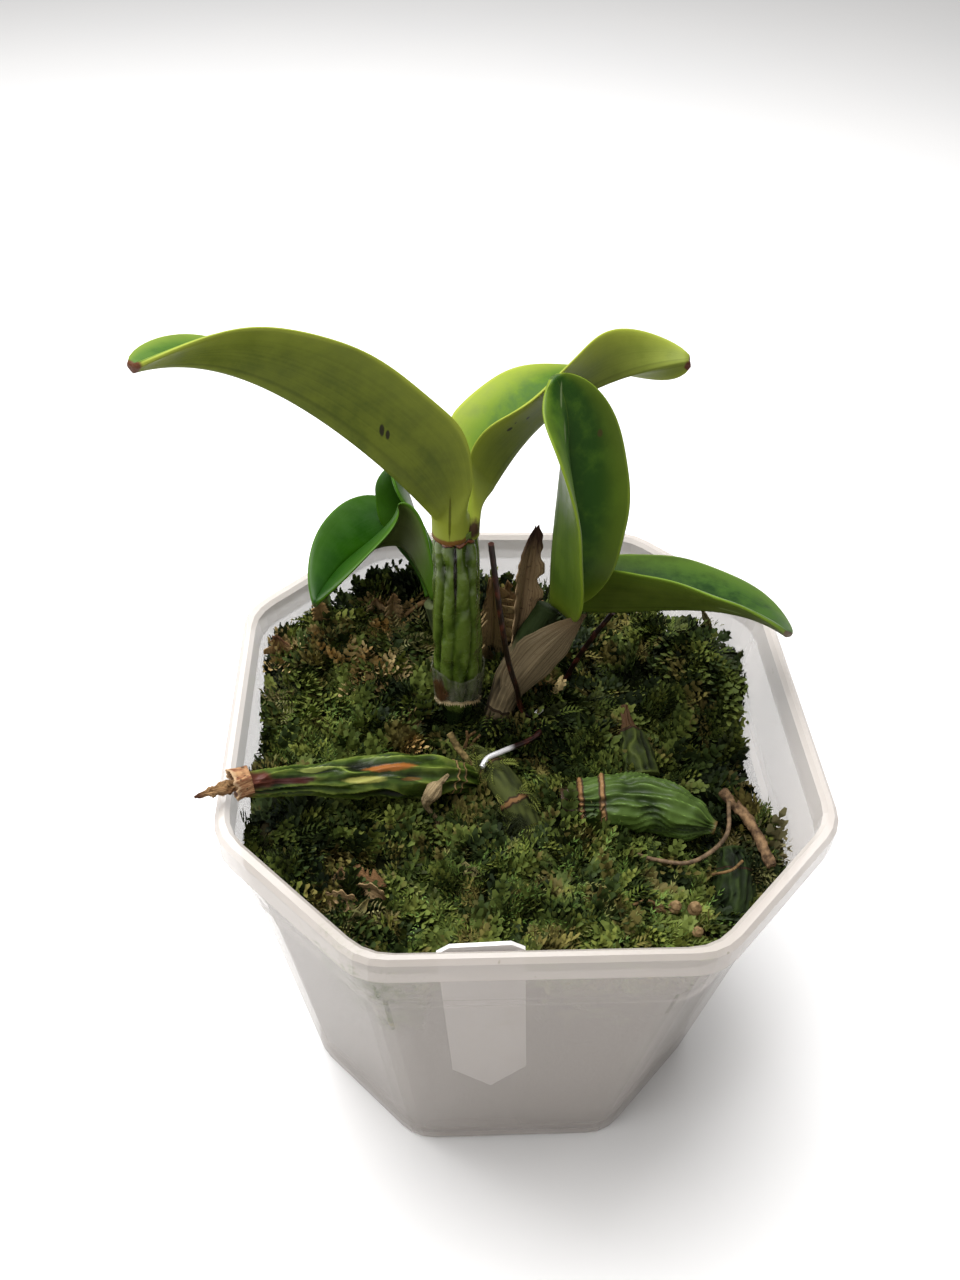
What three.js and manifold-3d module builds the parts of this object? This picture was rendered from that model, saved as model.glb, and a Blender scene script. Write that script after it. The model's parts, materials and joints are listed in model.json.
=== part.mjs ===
// A young cattleya orchid rooted in moss, in a clear eight-sided plastic pot.
// Millimetres, +Z up. The origin is the centre of the pot's underside; the pot's front side faces -Y.
import * as THREE from "three";
import { mergeVertices } from "three/addons/utils/BufferGeometryUtils.js";
import Module from "manifold-3d";

const wasm = await Module();
wasm.setup();

// ---------------------------------------------------------------- driving dimensions

const CLEARANCE = 0.3; // air left between two pieces that touch
const QUARTER = Math.PI / 2;
const CUT_SHARE = 2 - Math.SQRT2; // what a corner cut loses for each unit of inset, for an even wall

// A half width runs from the centre to a flat side. A cut is the length that a corner facet takes off
// each side of the square.
const POT = {
  footHalf: 38.7,
  footCut: 20.1,
  lipHeight: 80,
  lipHalf: 47.6,
  lipCut: 22.4,
  rimHeight: 81.8,
  rimHalf: 49.8,
  rimCut: 23.2,
  skirtHeight: 76.4,
  stepHeight: 63.2,
  stepOut: 0.7,
  stepRise: 1.2,
  edge: 0.7, // how far the edges of the rim and the foot are rounded over
  wall: 1,
  floor: 1.6,
  cornerRound: 4,
  notchWidth: 15,
  notchHeight: 0.8,
  notchDepth: 4,
  drainRadius: 2.5,
  drainSpread: 20,
};

// The moss: its level, the mounds and hollows in it (x, y, height, spread) and its sprigs.
const MOSS = {
  level: 66.5,
  mounds: [
    [-38, 34, 6.5, 14],
    [-46, 15, 3.5, 7],
    [-44, -18, 6.5, 13],
    [-14, 42, 4.5, 16],
    [3, 14, 5, 9],
    [40, 29, 6.5, 8],
    [44, 2, -6, 11],
    [40, -24, -7, 12],
    [42, -16, 6.5, 5],
    [-5, -4, -1.5, 7],
  ],
  lump: 1.2,
  around: 42,
  rings: 13,
  edgeDrop: 1.2,
  pulledIn: 2.5, // how far the mass has shrunk from the wall at the front right corner
  wallRings: [[30, 0], [50, 0.8]], // heights up the wall, each with its share of that shrinking
  sprigs: 130,
  sprigReach: 44,
  sprigLength: [3.9, 6.6],
  sprigRadius: [0.9, 1.4],
  sprigLean: [25, 72],
  sprigRoot: 1.8,
  sprigFlat: 0.55,
};

const LABEL = {
  width: 13,
  length: 58,
  thickness: 0.6,
  point: 9,
  corner: 2,
  top: 81.2,
  centre: -9,
  fromWall: 1.1,
  turn: 0.07,
};

// A leaf is a folded blade. Its midrib is a Bezier curve pulled by the points of path. The open side
// of its fold starts out looking in the direction of mouth (compass bearing from +Y, elevation) and
// rolls about the midrib by the degrees of roll. folds are the angles of each half to the flat blade.
// roll and folds blend from the foot to the tip as the path does.
const LEAVES = {
  leaf_main_left: {
    path: [[-12, 8.6, 111.6], [-14.9, 0.5, 126], [-28.9, 1.5, 138], [-40.3, 2.7, 150.8], [-52.8, -10.2, 153]],
    mouth: [90, 0],
    roll: [41, 83, 72, 51],
    folds: [78, 53, 28],
    halfWidth: 11.7,
    neck: 0.23,
    widest: 0.32,
    tip: 0.58,
  },
  leaf_main_right: {
    path: [[-8.4, 12.2, 113.2], [-3.7, 20.8, 119.6], [3, 23.7, 127.7], [10.7, 33, 127.4], [27, 28, 133.2]],
    mouth: [-80, 0],
    roll: [12, 57, 63, -69],
    folds: [78, 26, 40],
    halfWidth: 12.1,
    neck: 0.2,
    widest: 0.3,
    tip: 0.58,
  },
  leaf_right_upright: {
    path: [[5.8, 14.2, 93.4], [5.5, 6.6, 102.3], [3, 13, 114], [9, 16.6, 126.4], [3.2, 18.4, 136]],
    mouth: [115, 0],
    roll: [-5, -34, 6, -37],
    folds: [77, 62, 5],
    halfWidth: 11.9,
    neck: 0.3,
    opening: 0.8,
    widest: 0.55,
    tip: 0.74,
  },
  leaf_right_low: {
    path: [[7, 16.2, 91.3], [14.6, 13, 91.1], [26.3, 11.7, 95.4], [37.8, 12, 96.4], [44.8, 2.4, 96]],
    mouth: [-60, 20],
    roll: [-1, -17, 6, -21],
    folds: [78, 26, 9],
    halfWidth: 12.5,
    neck: 0.3,
    opening: 0.9,
    widest: 0.56,
    tip: 0.57,
  },
  leaf_left_low: {
    path: [[-14.7, 28, 82], [-20.3, 38.2, 91.7], [-20, 45, 84.3], [-31.5, 35.7, 90], [-36, 17, 90.3]],
    mouth: [80, 10],
    roll: [-19, -17, -49, -50],
    folds: [49, 56, 28],
    halfWidth: 12,
    neck: 0.28,
    widest: 0.37,
    tip: 0.85,
  },
  leaf_left_up: {
    path: [[-14.6, 31.4, 88.2], [-17, 31.6, 95], [-19, 30.2, 101.4], [-19.4, 30.4, 107.4], [-22, 30.6, 111]],
    mouth: [-75, 10],
    roll: [17, 45, 36, 1],
    folds: [61, 41, 38],
    halfWidth: 6.6,
    neck: 0.24,
    widest: 0.55,
    tip: 0.56,
  },
};
const LEAF = { midThickness: 1.7, edgeThickness: 1, across: 3, along: 13 };
const BLADE = {
  end: 0.985, // the share of the midrib where the blunt tip is cut
  narrowest: 0.5, // the least half width
  taper: 2.2, // how late the margins turn in towards the tip
  opening: 1.6, // how late the neck opens into the blade
  thinning: 0.35, // how much thinner it is at its tip
  curl: [1.2, 0.8], // how sharp the fold is at the midrib and at the margin, for each unit of its angle
  steepest: 1.5, // the most that a half stands up, in radians
  groove: 0.25, // how far apart two halves are where the filling of a tight fold ends
};

// A stalk is a ribbed body along a smooth curve through the points of path, with radii spread evenly
// from its foot to its tip. Its ribs rise by the share depth of its radius.
const STALKS = {
  rhizome: {
    finish: "stem",
    path: [[-8.8, 5.6, 64], [-7.8, 2, 66.2], [-5, -2.4, 67.2], [-1.4, -8.5, 66.8], [2.4, -13.2, 64]],
    radii: [1.6, 2.1, 2.4, 2.4, 1.8],
    ribs: 5,
    depth: 0.05,
    sides: 12,
    steps: 12,
  },
  pseudobulb_main: {
    path: [[-10.2, 10.8, 67.5], [-10.6, 10.4, 82], [-11.2, 10, 97], [-11.6, 9.9, 110.8]],
    radii: [2.7, 2.95, 3.6, 3.95, 3.7, 3.2],
    ribs: 7,
    depth: 0.1,
    sides: 24,
    steps: 14,
  },
  pseudobulb_left_lying: {
    path: [[-9.6, -6, 70.2], [-16, -7.8, 72.6], [-29.5, -11.5, 77], [-46.2, -18.6, 84.4]],
    radii: [2.4, 3.9, 4.3, 3.8, 3.2, 2.7, 2.1],
    ribs: 5,
    depth: 0.15,
    sides: 20,
    steps: 14,
  },
  pseudobulb_right_lying: {
    path: [[8.4, -11, 67], [14.6, -11, 68.5], [22, -11.5, 69], [33.4, -16.5, 68.4]],
    radii: [2.2, 3.7, 4.8, 5.3, 4.9, 3.9, 0.9],
    ribs: 6,
    depth: 0.12,
    sides: 22,
    steps: 12,
  },
  pseudobulb_front_buried: {
    path: [[36.4, -18.2, 64.4], [36.4, -22, 63.2], [35.6, -26, 61.6], [34.6, -30.5, 59]],
    radii: [2, 3.2, 3.4, 3, 1.8],
    ribs: 6,
    depth: 0.1,
    sides: 18,
    steps: 8,
  },
  pseudobulb_back_small: {
    path: [[22.4, -3.5, 66.5], [21.8, 1.5, 68.6], [21.2, 6, 69.6], [20.9, 10.5, 70.6]],
    radii: [3, 3.1, 2.4, 0.9, 0.7],
    ribs: 5,
    depth: 0.14,
    sides: 15,
    steps: 11,
  },
  stem_right_growth: {
    finish: "stem",
    path: [[-3.8, 8, 63.5], [-3, 9.2, 70], [-0.8, 10.3, 78], [2, 11.6, 86], [5.3, 13.8, 92.6]],
    radii: [2, 2.7, 3.1, 2.8, 2.2],
    ribs: 6,
    depth: 0.04,
    sides: 14,
    steps: 12,
  },
  dried_bud: {
    finish: "dry",
    path: [[-12.7, -9, 74.6], [-15.2, -12.8, 74.8], [-16.5, -13.2, 72], [-14.6, -13.8, 68], [-14.8, -16, 66]],
    radii: [0.35, 0.5, 1.5, 1, 0.45, 0.4, 0.4, 0.35],
    ribs: 3,
    depth: 0.12,
    sides: 9,
    steps: 18,
  },
  stem_left_growth: {
    finish: "stem",
    path: [[-11.6, 27, 66], [-12.8, 27.6, 74], [-14.6, 28, 81.4]],
    radii: [2, 2, 1.9],
    ribs: 4,
    depth: 0.03,
    sides: 12,
    steps: 8,
  },
};

// Wires, roots and the twig are even tubes.
const TUBES = {
  wire_pin_left: {
    path: [
      [-6, 6, 113],
      [-4.6, 6, 103],
      [-2.1, 6, 87.6],
      [-0.1, 6, 80],
      [1.2, 6.8, 74],
      [2.8, 6.4, 72.6],
      [5, 7.8, 73],
    ],
    radius: 0.5,
    steps: 20,
  },
  wire_pin_lower: {
    path: [
      [3.4, 5.4, 70.4],
      [4, 3.4, 71.6],
      [2.6, 1.8, 71.6],
      [-3, -1.1, 71.6],
      [-5.6, -2.6, 71.6],
      [-6.7, -4.5, 71.4],
    ],
    radius: 0.5,
    steps: 14,
  },
  wire_pin_right: {
    path: [[9.6, 17, 67.4], [10.9, 17, 73], [14.2, 17, 81.6], [17.6, 17, 88.4]],
    radius: 0.5,
    steps: 14,
  },
  twig: { path: [[36.6, -7.2, 66.8], [40.6, -14.4, 66.6], [42.6, -22.4, 65]], radius: 0.9, steps: 9 },
  root_curved: {
    path: [[36.4, -12.6, 69.6], [33.8, -20.6, 69.6], [27.4, -24.2, 68], [22.6, -22.2, 66], [19.6, -19.6, 64]],
    radius: 0.45,
    steps: 14,
  },
  root_dry_stub: { path: [[-12.2, 0.6, 74.6], [-10.2, -1.4, 72], [-8.2, -3.2, 70.4]], radius: 0.6, steps: 6 },
};

// Dry sheaths and moss scraps are thin blades, made as the leaves are.
const SCRAPS = {
  sheath_spike: {
    path: [[-1.2, 12.6, 82], [1.2, 16.4, 90], [0, 16.6, 100], [2.5, 15.6, 110]],
    mouth: [150, 10],
    folds: [55, 40, 20],
    halfWidth: 3.4,
    neck: 0.6,
    widest: 0.4,
    tip: 0.8,
  },
  sheath_fan: {
    path: [[0.6, 8.4, 85.4], [3.6, 8.2, 89], [7, 8.4, 92.8], [11.2, 8.4, 96.4]],
    mouth: [10, 10],
    folds: [25, 15, 5],
    halfWidth: 3.5,
    neck: 0.95,
    widest: 0.2,
    tip: 1.2,
  },
  scrap_tall: {
    path: [[-4.4, 21, 69], [-3.6, 21.4, 78], [-3.6, 21, 86], [-4.6, 20.4, 94.6]],
    mouth: [170, 10],
    roll: [0, 20],
    folds: [40, 30, 40],
    halfWidth: 4.2,
    neck: 0.5,
    widest: 0.5,
    tip: 0.9,
  },
  scrap_back: {
    path: [[-43, 22.6, 69], [-43.6, 22.8, 74], [-44, 22.6, 78.6]],
    mouth: [190, 10],
    folds: [40, 20],
    halfWidth: 2.6,
    neck: 0.5,
    widest: 0.5,
    tip: 0.6,
  },
  scrap_serrated: {
    path: [[-35.6, 31, 70], [-36.2, 31, 76], [-37, 30, 82]],
    mouth: [180, 10],
    folds: [30, 20],
    halfWidth: 1.5,
    neck: 0.5,
    widest: 0.4,
    tip: 0.8,
  },
  scrap_front: {
    path: [[-31, -27, 69], [-27, -28, 71], [-22.6, -29, 70.4]],
    mouth: [180, 70],
    folds: [30, 20],
    halfWidth: 2.4,
    neck: 0.4,
    widest: 0.5,
    tip: 0.7,
  },
};
const SCRAP = { midThickness: 1, edgeThickness: 0.95, across: 2, along: 8 };

// The sleeve covers a stretch of the upright pseudobulb, in shares of its length.
const SLEEVE = { from: 0.185, to: 0.36, gap: 0.3, thickness: 0.65, steps: 4, fray: 0.6, frays: 2.4 };

// The radii of the swollen end of the left lying pseudobulb, from its knob to its spike, and the places
// that they are spread over, from the end of that pseudobulb.
const LYING_KNOBS = { radii: [1.9, 2.4, 1.35, 1.35, 1.1, 0.35], places: [-1.2, 0.6, 2, 6] };

// Colour, roughness and metalness of each finish.
const FINISHES = {
  pot: [0xe8e9ec, 0.25, 0],
  moss: [0x3c4a22, 1, 0],
  label: [0xf4f0ee, 0.4, 0],
  leaf: [0x52762c, 0.45, 0],
  bulb: [0x47682f, 0.35, 0],
  stem: [0x4d5a34, 0.8, 0],
  dry: [0xa58a68, 0.85, 0],
  wire: [0x3a2622, 0.4, 0.6],
  twig: [0x7a5236, 0.8, 0],
};

// ---------------------------------------------------------------- helpers

const vec = (x, y, z) => new THREE.Vector3(x, y, z);
const vectors = (list) => list.map((p) => vec(...p));
const { lerp, clamp, degToRad, smoothstep, seededRandom } = THREE.MathUtils;

// Bezier blend of a list of vectors.
function bezier(points, t) {
  let row = points.map((p) => p.clone());
  while (row.length > 1) row = row.slice(1).map((p, i) => row[i].clone().lerp(p, t));
  return row[0];
}

// Bezier blend of a list of numbers.
const blend = (values, t) => bezier(values.map((v) => vec(v, 0, 0)), t).x;

// Eased step from one to the next of evenly spaced numbers.
function spread(values, t) {
  const place = t * (values.length - 1);
  const i = Math.min(Math.floor(place), values.length - 2);
  return lerp(values[i], values[i + 1], smoothstep(place - i, 0, 1));
}

// The direction with a compass bearing from +Y and an elevation, in degrees.
function direction([bearing, elevation]) {
  const [b, e] = [degToRad(bearing), degToRad(elevation)];
  return vec(Math.sin(b) * Math.cos(e), Math.cos(b) * Math.cos(e), Math.sin(e));
}

function solidFrom(points, triangles) {
  const vertProperties = new Float32Array(points.flatMap((p) => p.toArray()));
  return new wasm.Manifold(
    new wasm.Mesh({ numProp: 3, vertProperties, triVerts: new Uint32Array(triangles.flat()) }),
  );
}

// The solid of a closed three.js geometry.
function solidOf(geometry) {
  geometry.deleteAttribute("normal");
  geometry.deleteAttribute("uv");
  const merged = mergeVertices(geometry, 1e-4);
  return new wasm.Manifold(
    new wasm.Mesh({
      numProp: 3,
      vertProperties: merged.attributes.position.array,
      triVerts: new Uint32Array(merged.index.array),
    }),
  );
}

// The solid between rings of the same number of points, which run anticlockwise seen from the last
// ring, with both end rings closed by a fan.
function loft(rings) {
  const count = rings[0].length;
  const points = rings.flat();
  const triangles = [];
  for (let i = 0; i < rings.length - 1; i++) {
    for (let j = 0; j < count; j++) {
      const [a, b] = [i * count + j, i * count + ((j + 1) % count)];
      triangles.push([a, b, b + count], [a, b + count, a + count]);
    }
  }
  const middle = (ring) => ring.reduce((sum, p) => sum.add(p), vec(0, 0, 0)).divideScalar(count);
  const first = points.push(middle(rings[0])) - 1;
  const last = points.push(middle(rings.at(-1))) - 1;
  const top = (rings.length - 1) * count;
  for (let j = 0; j < count; j++) {
    const next = (j + 1) % count;
    triangles.push([first, next, j], [last, top + j, top + next]);
  }
  return solidFrom(points, triangles);
}

// The largest body of a solid, which drops the loose scraps that a cut leaves.
function mainBody(solid) {
  return solid.decompose().reduce((best, body) => (body.volume() > best.volume() ? body : best));
}

const group = new THREE.Group();

function addPiece(name, solid, finish) {
  const { vertProperties, triVerts } = solid.getMesh();
  const geometry = new THREE.BufferGeometry()
    .setAttribute("position", new THREE.BufferAttribute(vertProperties, 3))
    .setIndex(new THREE.BufferAttribute(triVerts, 1));
  geometry.computeVertexNormals();
  const [color, roughness, metalness] = FINISHES[finish];
  const mesh = new THREE.Mesh(geometry, new THREE.MeshStandardMaterial({ color, roughness, metalness }));
  mesh.name = name;
  group.add(mesh);
}

// ---------------------------------------------------------------- the pot

// The eight-sided outline with rounded corners.
function eightSides(half, cut) {
  const corners = [];
  for (let side = 0; side < 4; side++) {
    for (const [x, y] of [[half, half - cut], [half - cut, half]])
      corners.push(new THREE.Vector2(x, y).rotateAround(new THREE.Vector2(), side * QUARTER));
  }
  const outline = new THREE.Shape();
  corners.forEach((corner, i) => {
    const before = corners.at(i - 1).clone().sub(corner).setLength(POT.cornerRound).add(corner);
    const after = corners[(i + 1) % 8].clone().sub(corner).setLength(POT.cornerRound).add(corner);
    if (i === 0) outline.moveTo(before.x, before.y);
    else outline.lineTo(before.x, before.y);
    outline.quadraticCurveTo(corner.x, corner.y, after.x, after.y);
  });
  outline.closePath();
  return outline;
}

// The outer face of the wall leans out evenly and steps out a little at one height.
const wallHalf = (z) =>
  lerp(POT.footHalf, POT.lipHalf + POT.wall - POT.stepOut, z / POT.lipHeight) +
  POT.stepOut * clamp((z - POT.stepHeight) / POT.stepRise, 0, 1);
const wallOutline = (z, inset) =>
  eightSides(wallHalf(z) - inset, lerp(POT.footCut, POT.lipCut, z / POT.lipHeight) - CUT_SHARE * inset);

function ringOf(outline, z) {
  const points = outline.getPoints(3).map((p) => vec(p.x, p.y, z));
  return points.at(-1).distanceTo(points[0]) < 1e-6 ? points.slice(0, -1) : points;
}

const wallRing = (z, inset = 0) => ringOf(wallOutline(z, inset), z);
const rimRing = (inset, z) => ringOf(eightSides(POT.rimHalf - inset, POT.rimCut - CUT_SHARE * inset), z);
const lipRing = (outset, z) => ringOf(eightSides(POT.lipHalf + outset, POT.lipCut + CUT_SHARE * outset), z);

function makePot() {
  const { wall, floor, rimHeight, skirtHeight, edge, stepHeight, drainSpread } = POT;
  const aboveStep = stepHeight + POT.stepRise;
  const shell = loft([
    wallRing(0, edge),
    wallRing(edge),
    wallRing(stepHeight),
    wallRing(aboveStep),
    wallRing(skirtHeight),
    rimRing(edge / 2, skirtHeight),
    rimRing(0, skirtHeight + edge / 2),
    rimRing(0, rimHeight - edge),
    rimRing(edge, rimHeight),
    lipRing(edge, rimHeight),
    lipRing(0, rimHeight - edge),
    wallRing(skirtHeight, wall),
    wallRing(aboveStep, wall),
    wallRing(stepHeight, wall),
    wallRing(floor + edge, wall),
    wallRing(floor, wall + edge),
  ]);
  const notch = new THREE.BoxGeometry(POT.notchWidth, 2 * POT.notchDepth, 2 * POT.notchHeight);
  const drain = new THREE.CylinderGeometry(POT.drainRadius, POT.drainRadius, 4 * floor, 12);
  drain.rotateX(QUARTER);
  let pot = shell;
  for (let side = 0; side < 4; side++) {
    const turn = new THREE.Matrix4().makeRotationZ(side * QUARTER);
    const place = (geometry, x, y) => solidOf(geometry.clone().translate(x, y, 0).applyMatrix4(turn));
    pot = pot.subtract(place(notch, 0, POT.footHalf));
    pot = pot.subtract(place(drain, drainSpread, drainSpread));
  }
  return pot;
}

// ---------------------------------------------------------------- leaves, sheaths and scraps

// The half width of a blade at a share of its length.
function bladeWidth({ halfWidth, neck, widest, tip, opening = BLADE.opening }, t) {
  const opened = neck + (1 - neck) * Math.sin(clamp(t / widest, 0, 1) * QUARTER) ** opening;
  const closed = (1 - clamp((t - widest) / (1 - widest), 0, 1) ** BLADE.taper) ** tip;
  return Math.max(halfWidth * opened * closed, BLADE.narrowest);
}

// Half of a blade's section from the midrib to the margin: its back and its front, each a list of
// places sideways and forwards.
function halfSection(width, fold, across, halfThickness) {
  const back = [];
  const front = [];
  let [x, y] = [0, 0];
  for (let k = 0; k <= across; k++) {
    const slope = Math.min(fold * lerp(...BLADE.curl, k / across), BLADE.steepest);
    if (k > 0) {
      x += (width / across) * Math.cos(slope);
      y += (width / across) * Math.sin(slope);
    }
    const half = halfThickness(k / across);
    const lean = k === 0 ? 0 : slope;
    back.push([x + half * Math.sin(lean), y - half * Math.cos(lean)]);
    front.push([x - half * Math.sin(lean), y + half * Math.cos(lean)]);
  }
  // Where the fold is tight its two faces would meet: there the groove is filled to where it opens.
  const opens = front.findIndex(([a], k) => k > 0 && a > BLADE.groove * k);
  const filled = opens < 0 ? across : opens;
  const [reach, level] = opens < 0 ? [BLADE.groove * across, front.at(-1)[1]] : front[opens];
  const flat = Math.max(level, front[0][1]);
  for (let k = 0; k < filled; k++) front[k] = [(reach * k) / filled, flat];
  if (opens < 0) front[across] = [reach, flat];
  return { back, front };
}

// The solid of a blade, lofted from its foot to its tip. grow makes it thicker all round, for the room
// that it leaves in a neighbour.
function blade(leaf, { midThickness, edgeThickness, across, along }, grow = 0) {
  const path = vectors(leaf.path);
  const step = 0.005;
  const mouth = direction(leaf.mouth);
  const rings = [];
  for (let i = 0; i <= along; i++) {
    const t = (BLADE.end * i) / along;
    const centre = bezier(path, t);
    const ahead = bezier(path, t + step).sub(bezier(path, t - step)).normalize();
    mouth.addScaledVector(ahead, -mouth.dot(ahead)).normalize();
    const face = mouth.clone().applyAxisAngle(ahead, degToRad(blend(leaf.roll ?? [0], t)));
    const side = ahead.clone().cross(face);
    const thin = 1 - BLADE.thinning * t;
    const thickness = (u) => (thin * lerp(midThickness, edgeThickness, u * u)) / 2 + grow;
    const fold = degToRad(blend(leaf.folds, t));
    const { back, front } = halfSection(bladeWidth(leaf, t) + grow, fold, across, thickness);
    const at = ([a, b], sign) => centre.clone().addScaledVector(side, sign * a).addScaledVector(face, b);
    rings.push([
      ...front.toReversed().map((p) => at(p, -1)),
      ...front.slice(1).map((p) => at(p, 1)),
      ...back.toReversed().map((p) => at(p, 1)),
      ...back.slice(1).map((p) => at(p, -1)),
    ]);
  }
  return loft(rings);
}

// ---------------------------------------------------------------- stalks and tubes

// Rings across a smooth curve. radiusAt gives the radius at a share of the length and an angle.
function ringsAlong(path, steps, sides, radiusAt, from = 0, to = 1) {
  const curve = new THREE.CatmullRomCurve3(vectors(path));
  const frames = curve.computeFrenetFrames(steps);
  return frames.tangents.map((tangent, i) => {
    const t = lerp(from, to, i / steps);
    const centre = curve.getPointAt(t);
    return Array.from({ length: sides }, (_, j) => {
      const angle = (2 * Math.PI * j) / sides;
      const out = frames.normals[i].clone().applyAxisAngle(tangent, angle);
      return out.multiplyScalar(radiusAt(t, angle)).add(centre);
    });
  });
}

// The ribbed skin of a stalk, whose ribs wander a little to either side on their way.
function stalkRadius({ radii, ribs, depth }, grow = 0) {
  return (t, angle) => {
    const wander = 0.5 * Math.sin(5 * t + 1.3) + 0.3 * Math.sin(11 * t);
    return spread(radii, t) * (1 + depth * Math.sin(ribs * angle + wander)) + grow;
  };
}

function stalk(spec, grow = 0) {
  return loft(ringsAlong(spec.path, spec.steps, spec.sides, stalkRadius(spec, grow)));
}

function tube({ path, radius, steps }, grow = 0) {
  const section = new THREE.Shape().absarc(0, 0, radius + grow, 0, 2 * Math.PI);
  const extrudePath = new THREE.CatmullRomCurve3(vectors(path));
  return solidOf(new THREE.ExtrudeGeometry(section, { extrudePath, steps, curveSegments: 3 }));
}

// ---------------------------------------------------------------- the moss

function mossHeight(x, y) {
  const mounds = MOSS.mounds.map(([mx, my, height, size]) =>
    height * Math.exp(-((x - mx) ** 2 + (y - my) ** 2) / (2 * size * size)));
  const lumps =
    Math.sin(0.55 * x + 1.3 * Math.sin(0.31 * y)) * Math.sin(0.6 * y + 1.1 * Math.sin(0.37 * x)) +
    0.5 * Math.sin(1.3 * x + 2) * Math.sin(1.45 * y + 1);
  return MOSS.level + mounds.reduce((sum, h) => sum + h, 0) + MOSS.lump * lumps;
}

// How far the mass stands in from the wall, on the side that a point is on: most at the front right.
function shrunk(x, y) {
  const towards = (x * 0.8 - y * 0.6) / Math.hypot(x, y);
  return MOSS.pulledIn * smoothstep(towards, 0.5, 0.95);
}

// The bed: rings up the wall, and then rings that close in over the top.
function mossBed() {
  const side = (z, share) =>
    wallOutline(z, POT.wall + CLEARANCE)
      .getSpacedPoints(MOSS.around)
      .slice(1)
      .map((p) => p.setLength(p.length() - share * shrunk(p.x, p.y)))
      .map((p) => vec(p.x, p.y, z));
  const rings = [[POT.floor + CLEARANCE, 0], ...MOSS.wallRings].map(([z, share]) => side(z, share));
  const edge = side(MOSS.level, 1);
  rings.push(edge.map(({ x, y }) => vec(x, y, mossHeight(x, y) - MOSS.edgeDrop)));
  for (let k = 1; k < MOSS.rings; k++) {
    const share = 1 - k / MOSS.rings;
    const reach = share + 0.4 / MOSS.rings;
    rings.push(edge.map(({ x, y }) => vec(x * reach, y * reach, mossHeight(x * share, y * share))));
  }
  return loft(rings);
}

// Short flat sprigs that lean out of the bed on all sides, their roots sunk in it.
function mossSprigs() {
  const between = ([low, high]) => lerp(low, high, seededRandom());
  const reach = MOSS.sprigReach;
  const cornerShare = 2 - POT.lipCut / POT.lipHalf;
  const solids = [];
  seededRandom(7);
  while (solids.length < MOSS.sprigs) {
    const [x, y] = [between([-reach, reach]), between([-reach, reach])];
    if ((Math.abs(x) + Math.abs(y)) / cornerShare > reach - shrunk(x, y)) continue;
    const length = between(MOSS.sprigLength);
    const sprig = new THREE.ConeGeometry(between(MOSS.sprigRadius), length, 3);
    sprig.scale(1, 1, MOSS.sprigFlat).translate(0, length / 2 - MOSS.sprigRoot, 0);
    sprig.rotateX(QUARTER).rotateZ(between([0, Math.PI]));
    sprig.rotateX(degToRad(between(MOSS.sprigLean))).rotateZ(between([0, 2 * Math.PI]));
    sprig.translate(x, y, mossHeight(x, y));
    solids.push(solidOf(sprig));
  }
  return wasm.Manifold.union(solids);
}

// The bed and its sprigs, kept clear of the pot, with a hole for every piece that is rooted in it.
function makeMoss(holes) {
  const { floor, stepHeight, stepRise, skirtHeight, edge, wall } = POT;
  const inset = wall + CLEARANCE;
  const room = loft([
    wallRing(floor + CLEARANCE, inset + edge),
    wallRing(floor + CLEARANCE + edge, inset),
    wallRing(stepHeight, inset),
    wallRing(stepHeight + stepRise, inset),
    wallRing(skirtHeight, inset),
    lipRing(-CLEARANCE, POT.rimHeight),
  ]);
  const planted = mossBed().add(mossSprigs()).intersect(room);
  return mainBody(holes.reduce((rest, hole) => rest.subtract(hole), planted));
}

// ---------------------------------------------------------------- single pieces

function makeLabel(grow = 0) {
  const { width, length, point, corner, thickness } = LABEL;
  const [half, shoulder] = [width / 2 + grow, point - length];
  const outline = new THREE.Shape([
    new THREE.Vector2(0, -length),
    new THREE.Vector2(half, shoulder),
    new THREE.Vector2(half, -corner),
    new THREE.Vector2(half - corner, 0),
    new THREE.Vector2(corner - half, 0),
    new THREE.Vector2(-half, -corner),
    new THREE.Vector2(-half, shoulder),
  ]);
  const depth = thickness + 2 * grow;
  const lean = Math.atan((POT.lipHalf - POT.footHalf + POT.wall) / POT.lipHeight);
  const label = new THREE.ExtrudeGeometry(outline, { depth, bevelEnabled: false });
  label.rotateZ(LABEL.turn).translate(0, 0, -depth / 2).rotateX(QUARTER + lean);
  return solidOf(label.translate(LABEL.centre, LABEL.fromWall - POT.lipHalf, LABEL.top));
}

// The sleeve of dry skin round the foot of the upright pseudobulb, frayed along its lower edge.
function makeSleeve() {
  const bulb = STALKS.pseudobulb_main;
  const { from, to, gap, thickness, steps, fray, frays } = SLEEVE;
  const past = 0.05;
  const outer = ringsAlong(bulb.path, steps, bulb.sides, stalkRadius(bulb, gap + thickness), from, to);
  const inner = ringsAlong(bulb.path, steps + 2, bulb.sides, stalkRadius(bulb, gap), from - past, to + past);
  outer[0].forEach((p, j) => {
    p.z += fray * Math.sin(frays * j);
  });
  return mainBody(loft(outer).subtract(loft(inner)));
}

// The swollen knob and the spike that end the lying pseudobulb.
function lyingKnobs() {
  const { path } = STALKS.pseudobulb_left_lying;
  const [before, end] = vectors(path.slice(-2));
  const along = end.clone().sub(before).setZ(0).normalize();
  const points = LYING_KNOBS.places.map((d) => end.clone().addScaledVector(along, d).toArray());
  return loft(ringsAlong(points, 7, 12, (t) => spread(LYING_KNOBS.radii, t)));
}

// ---------------------------------------------------------------- the whole plant

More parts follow.
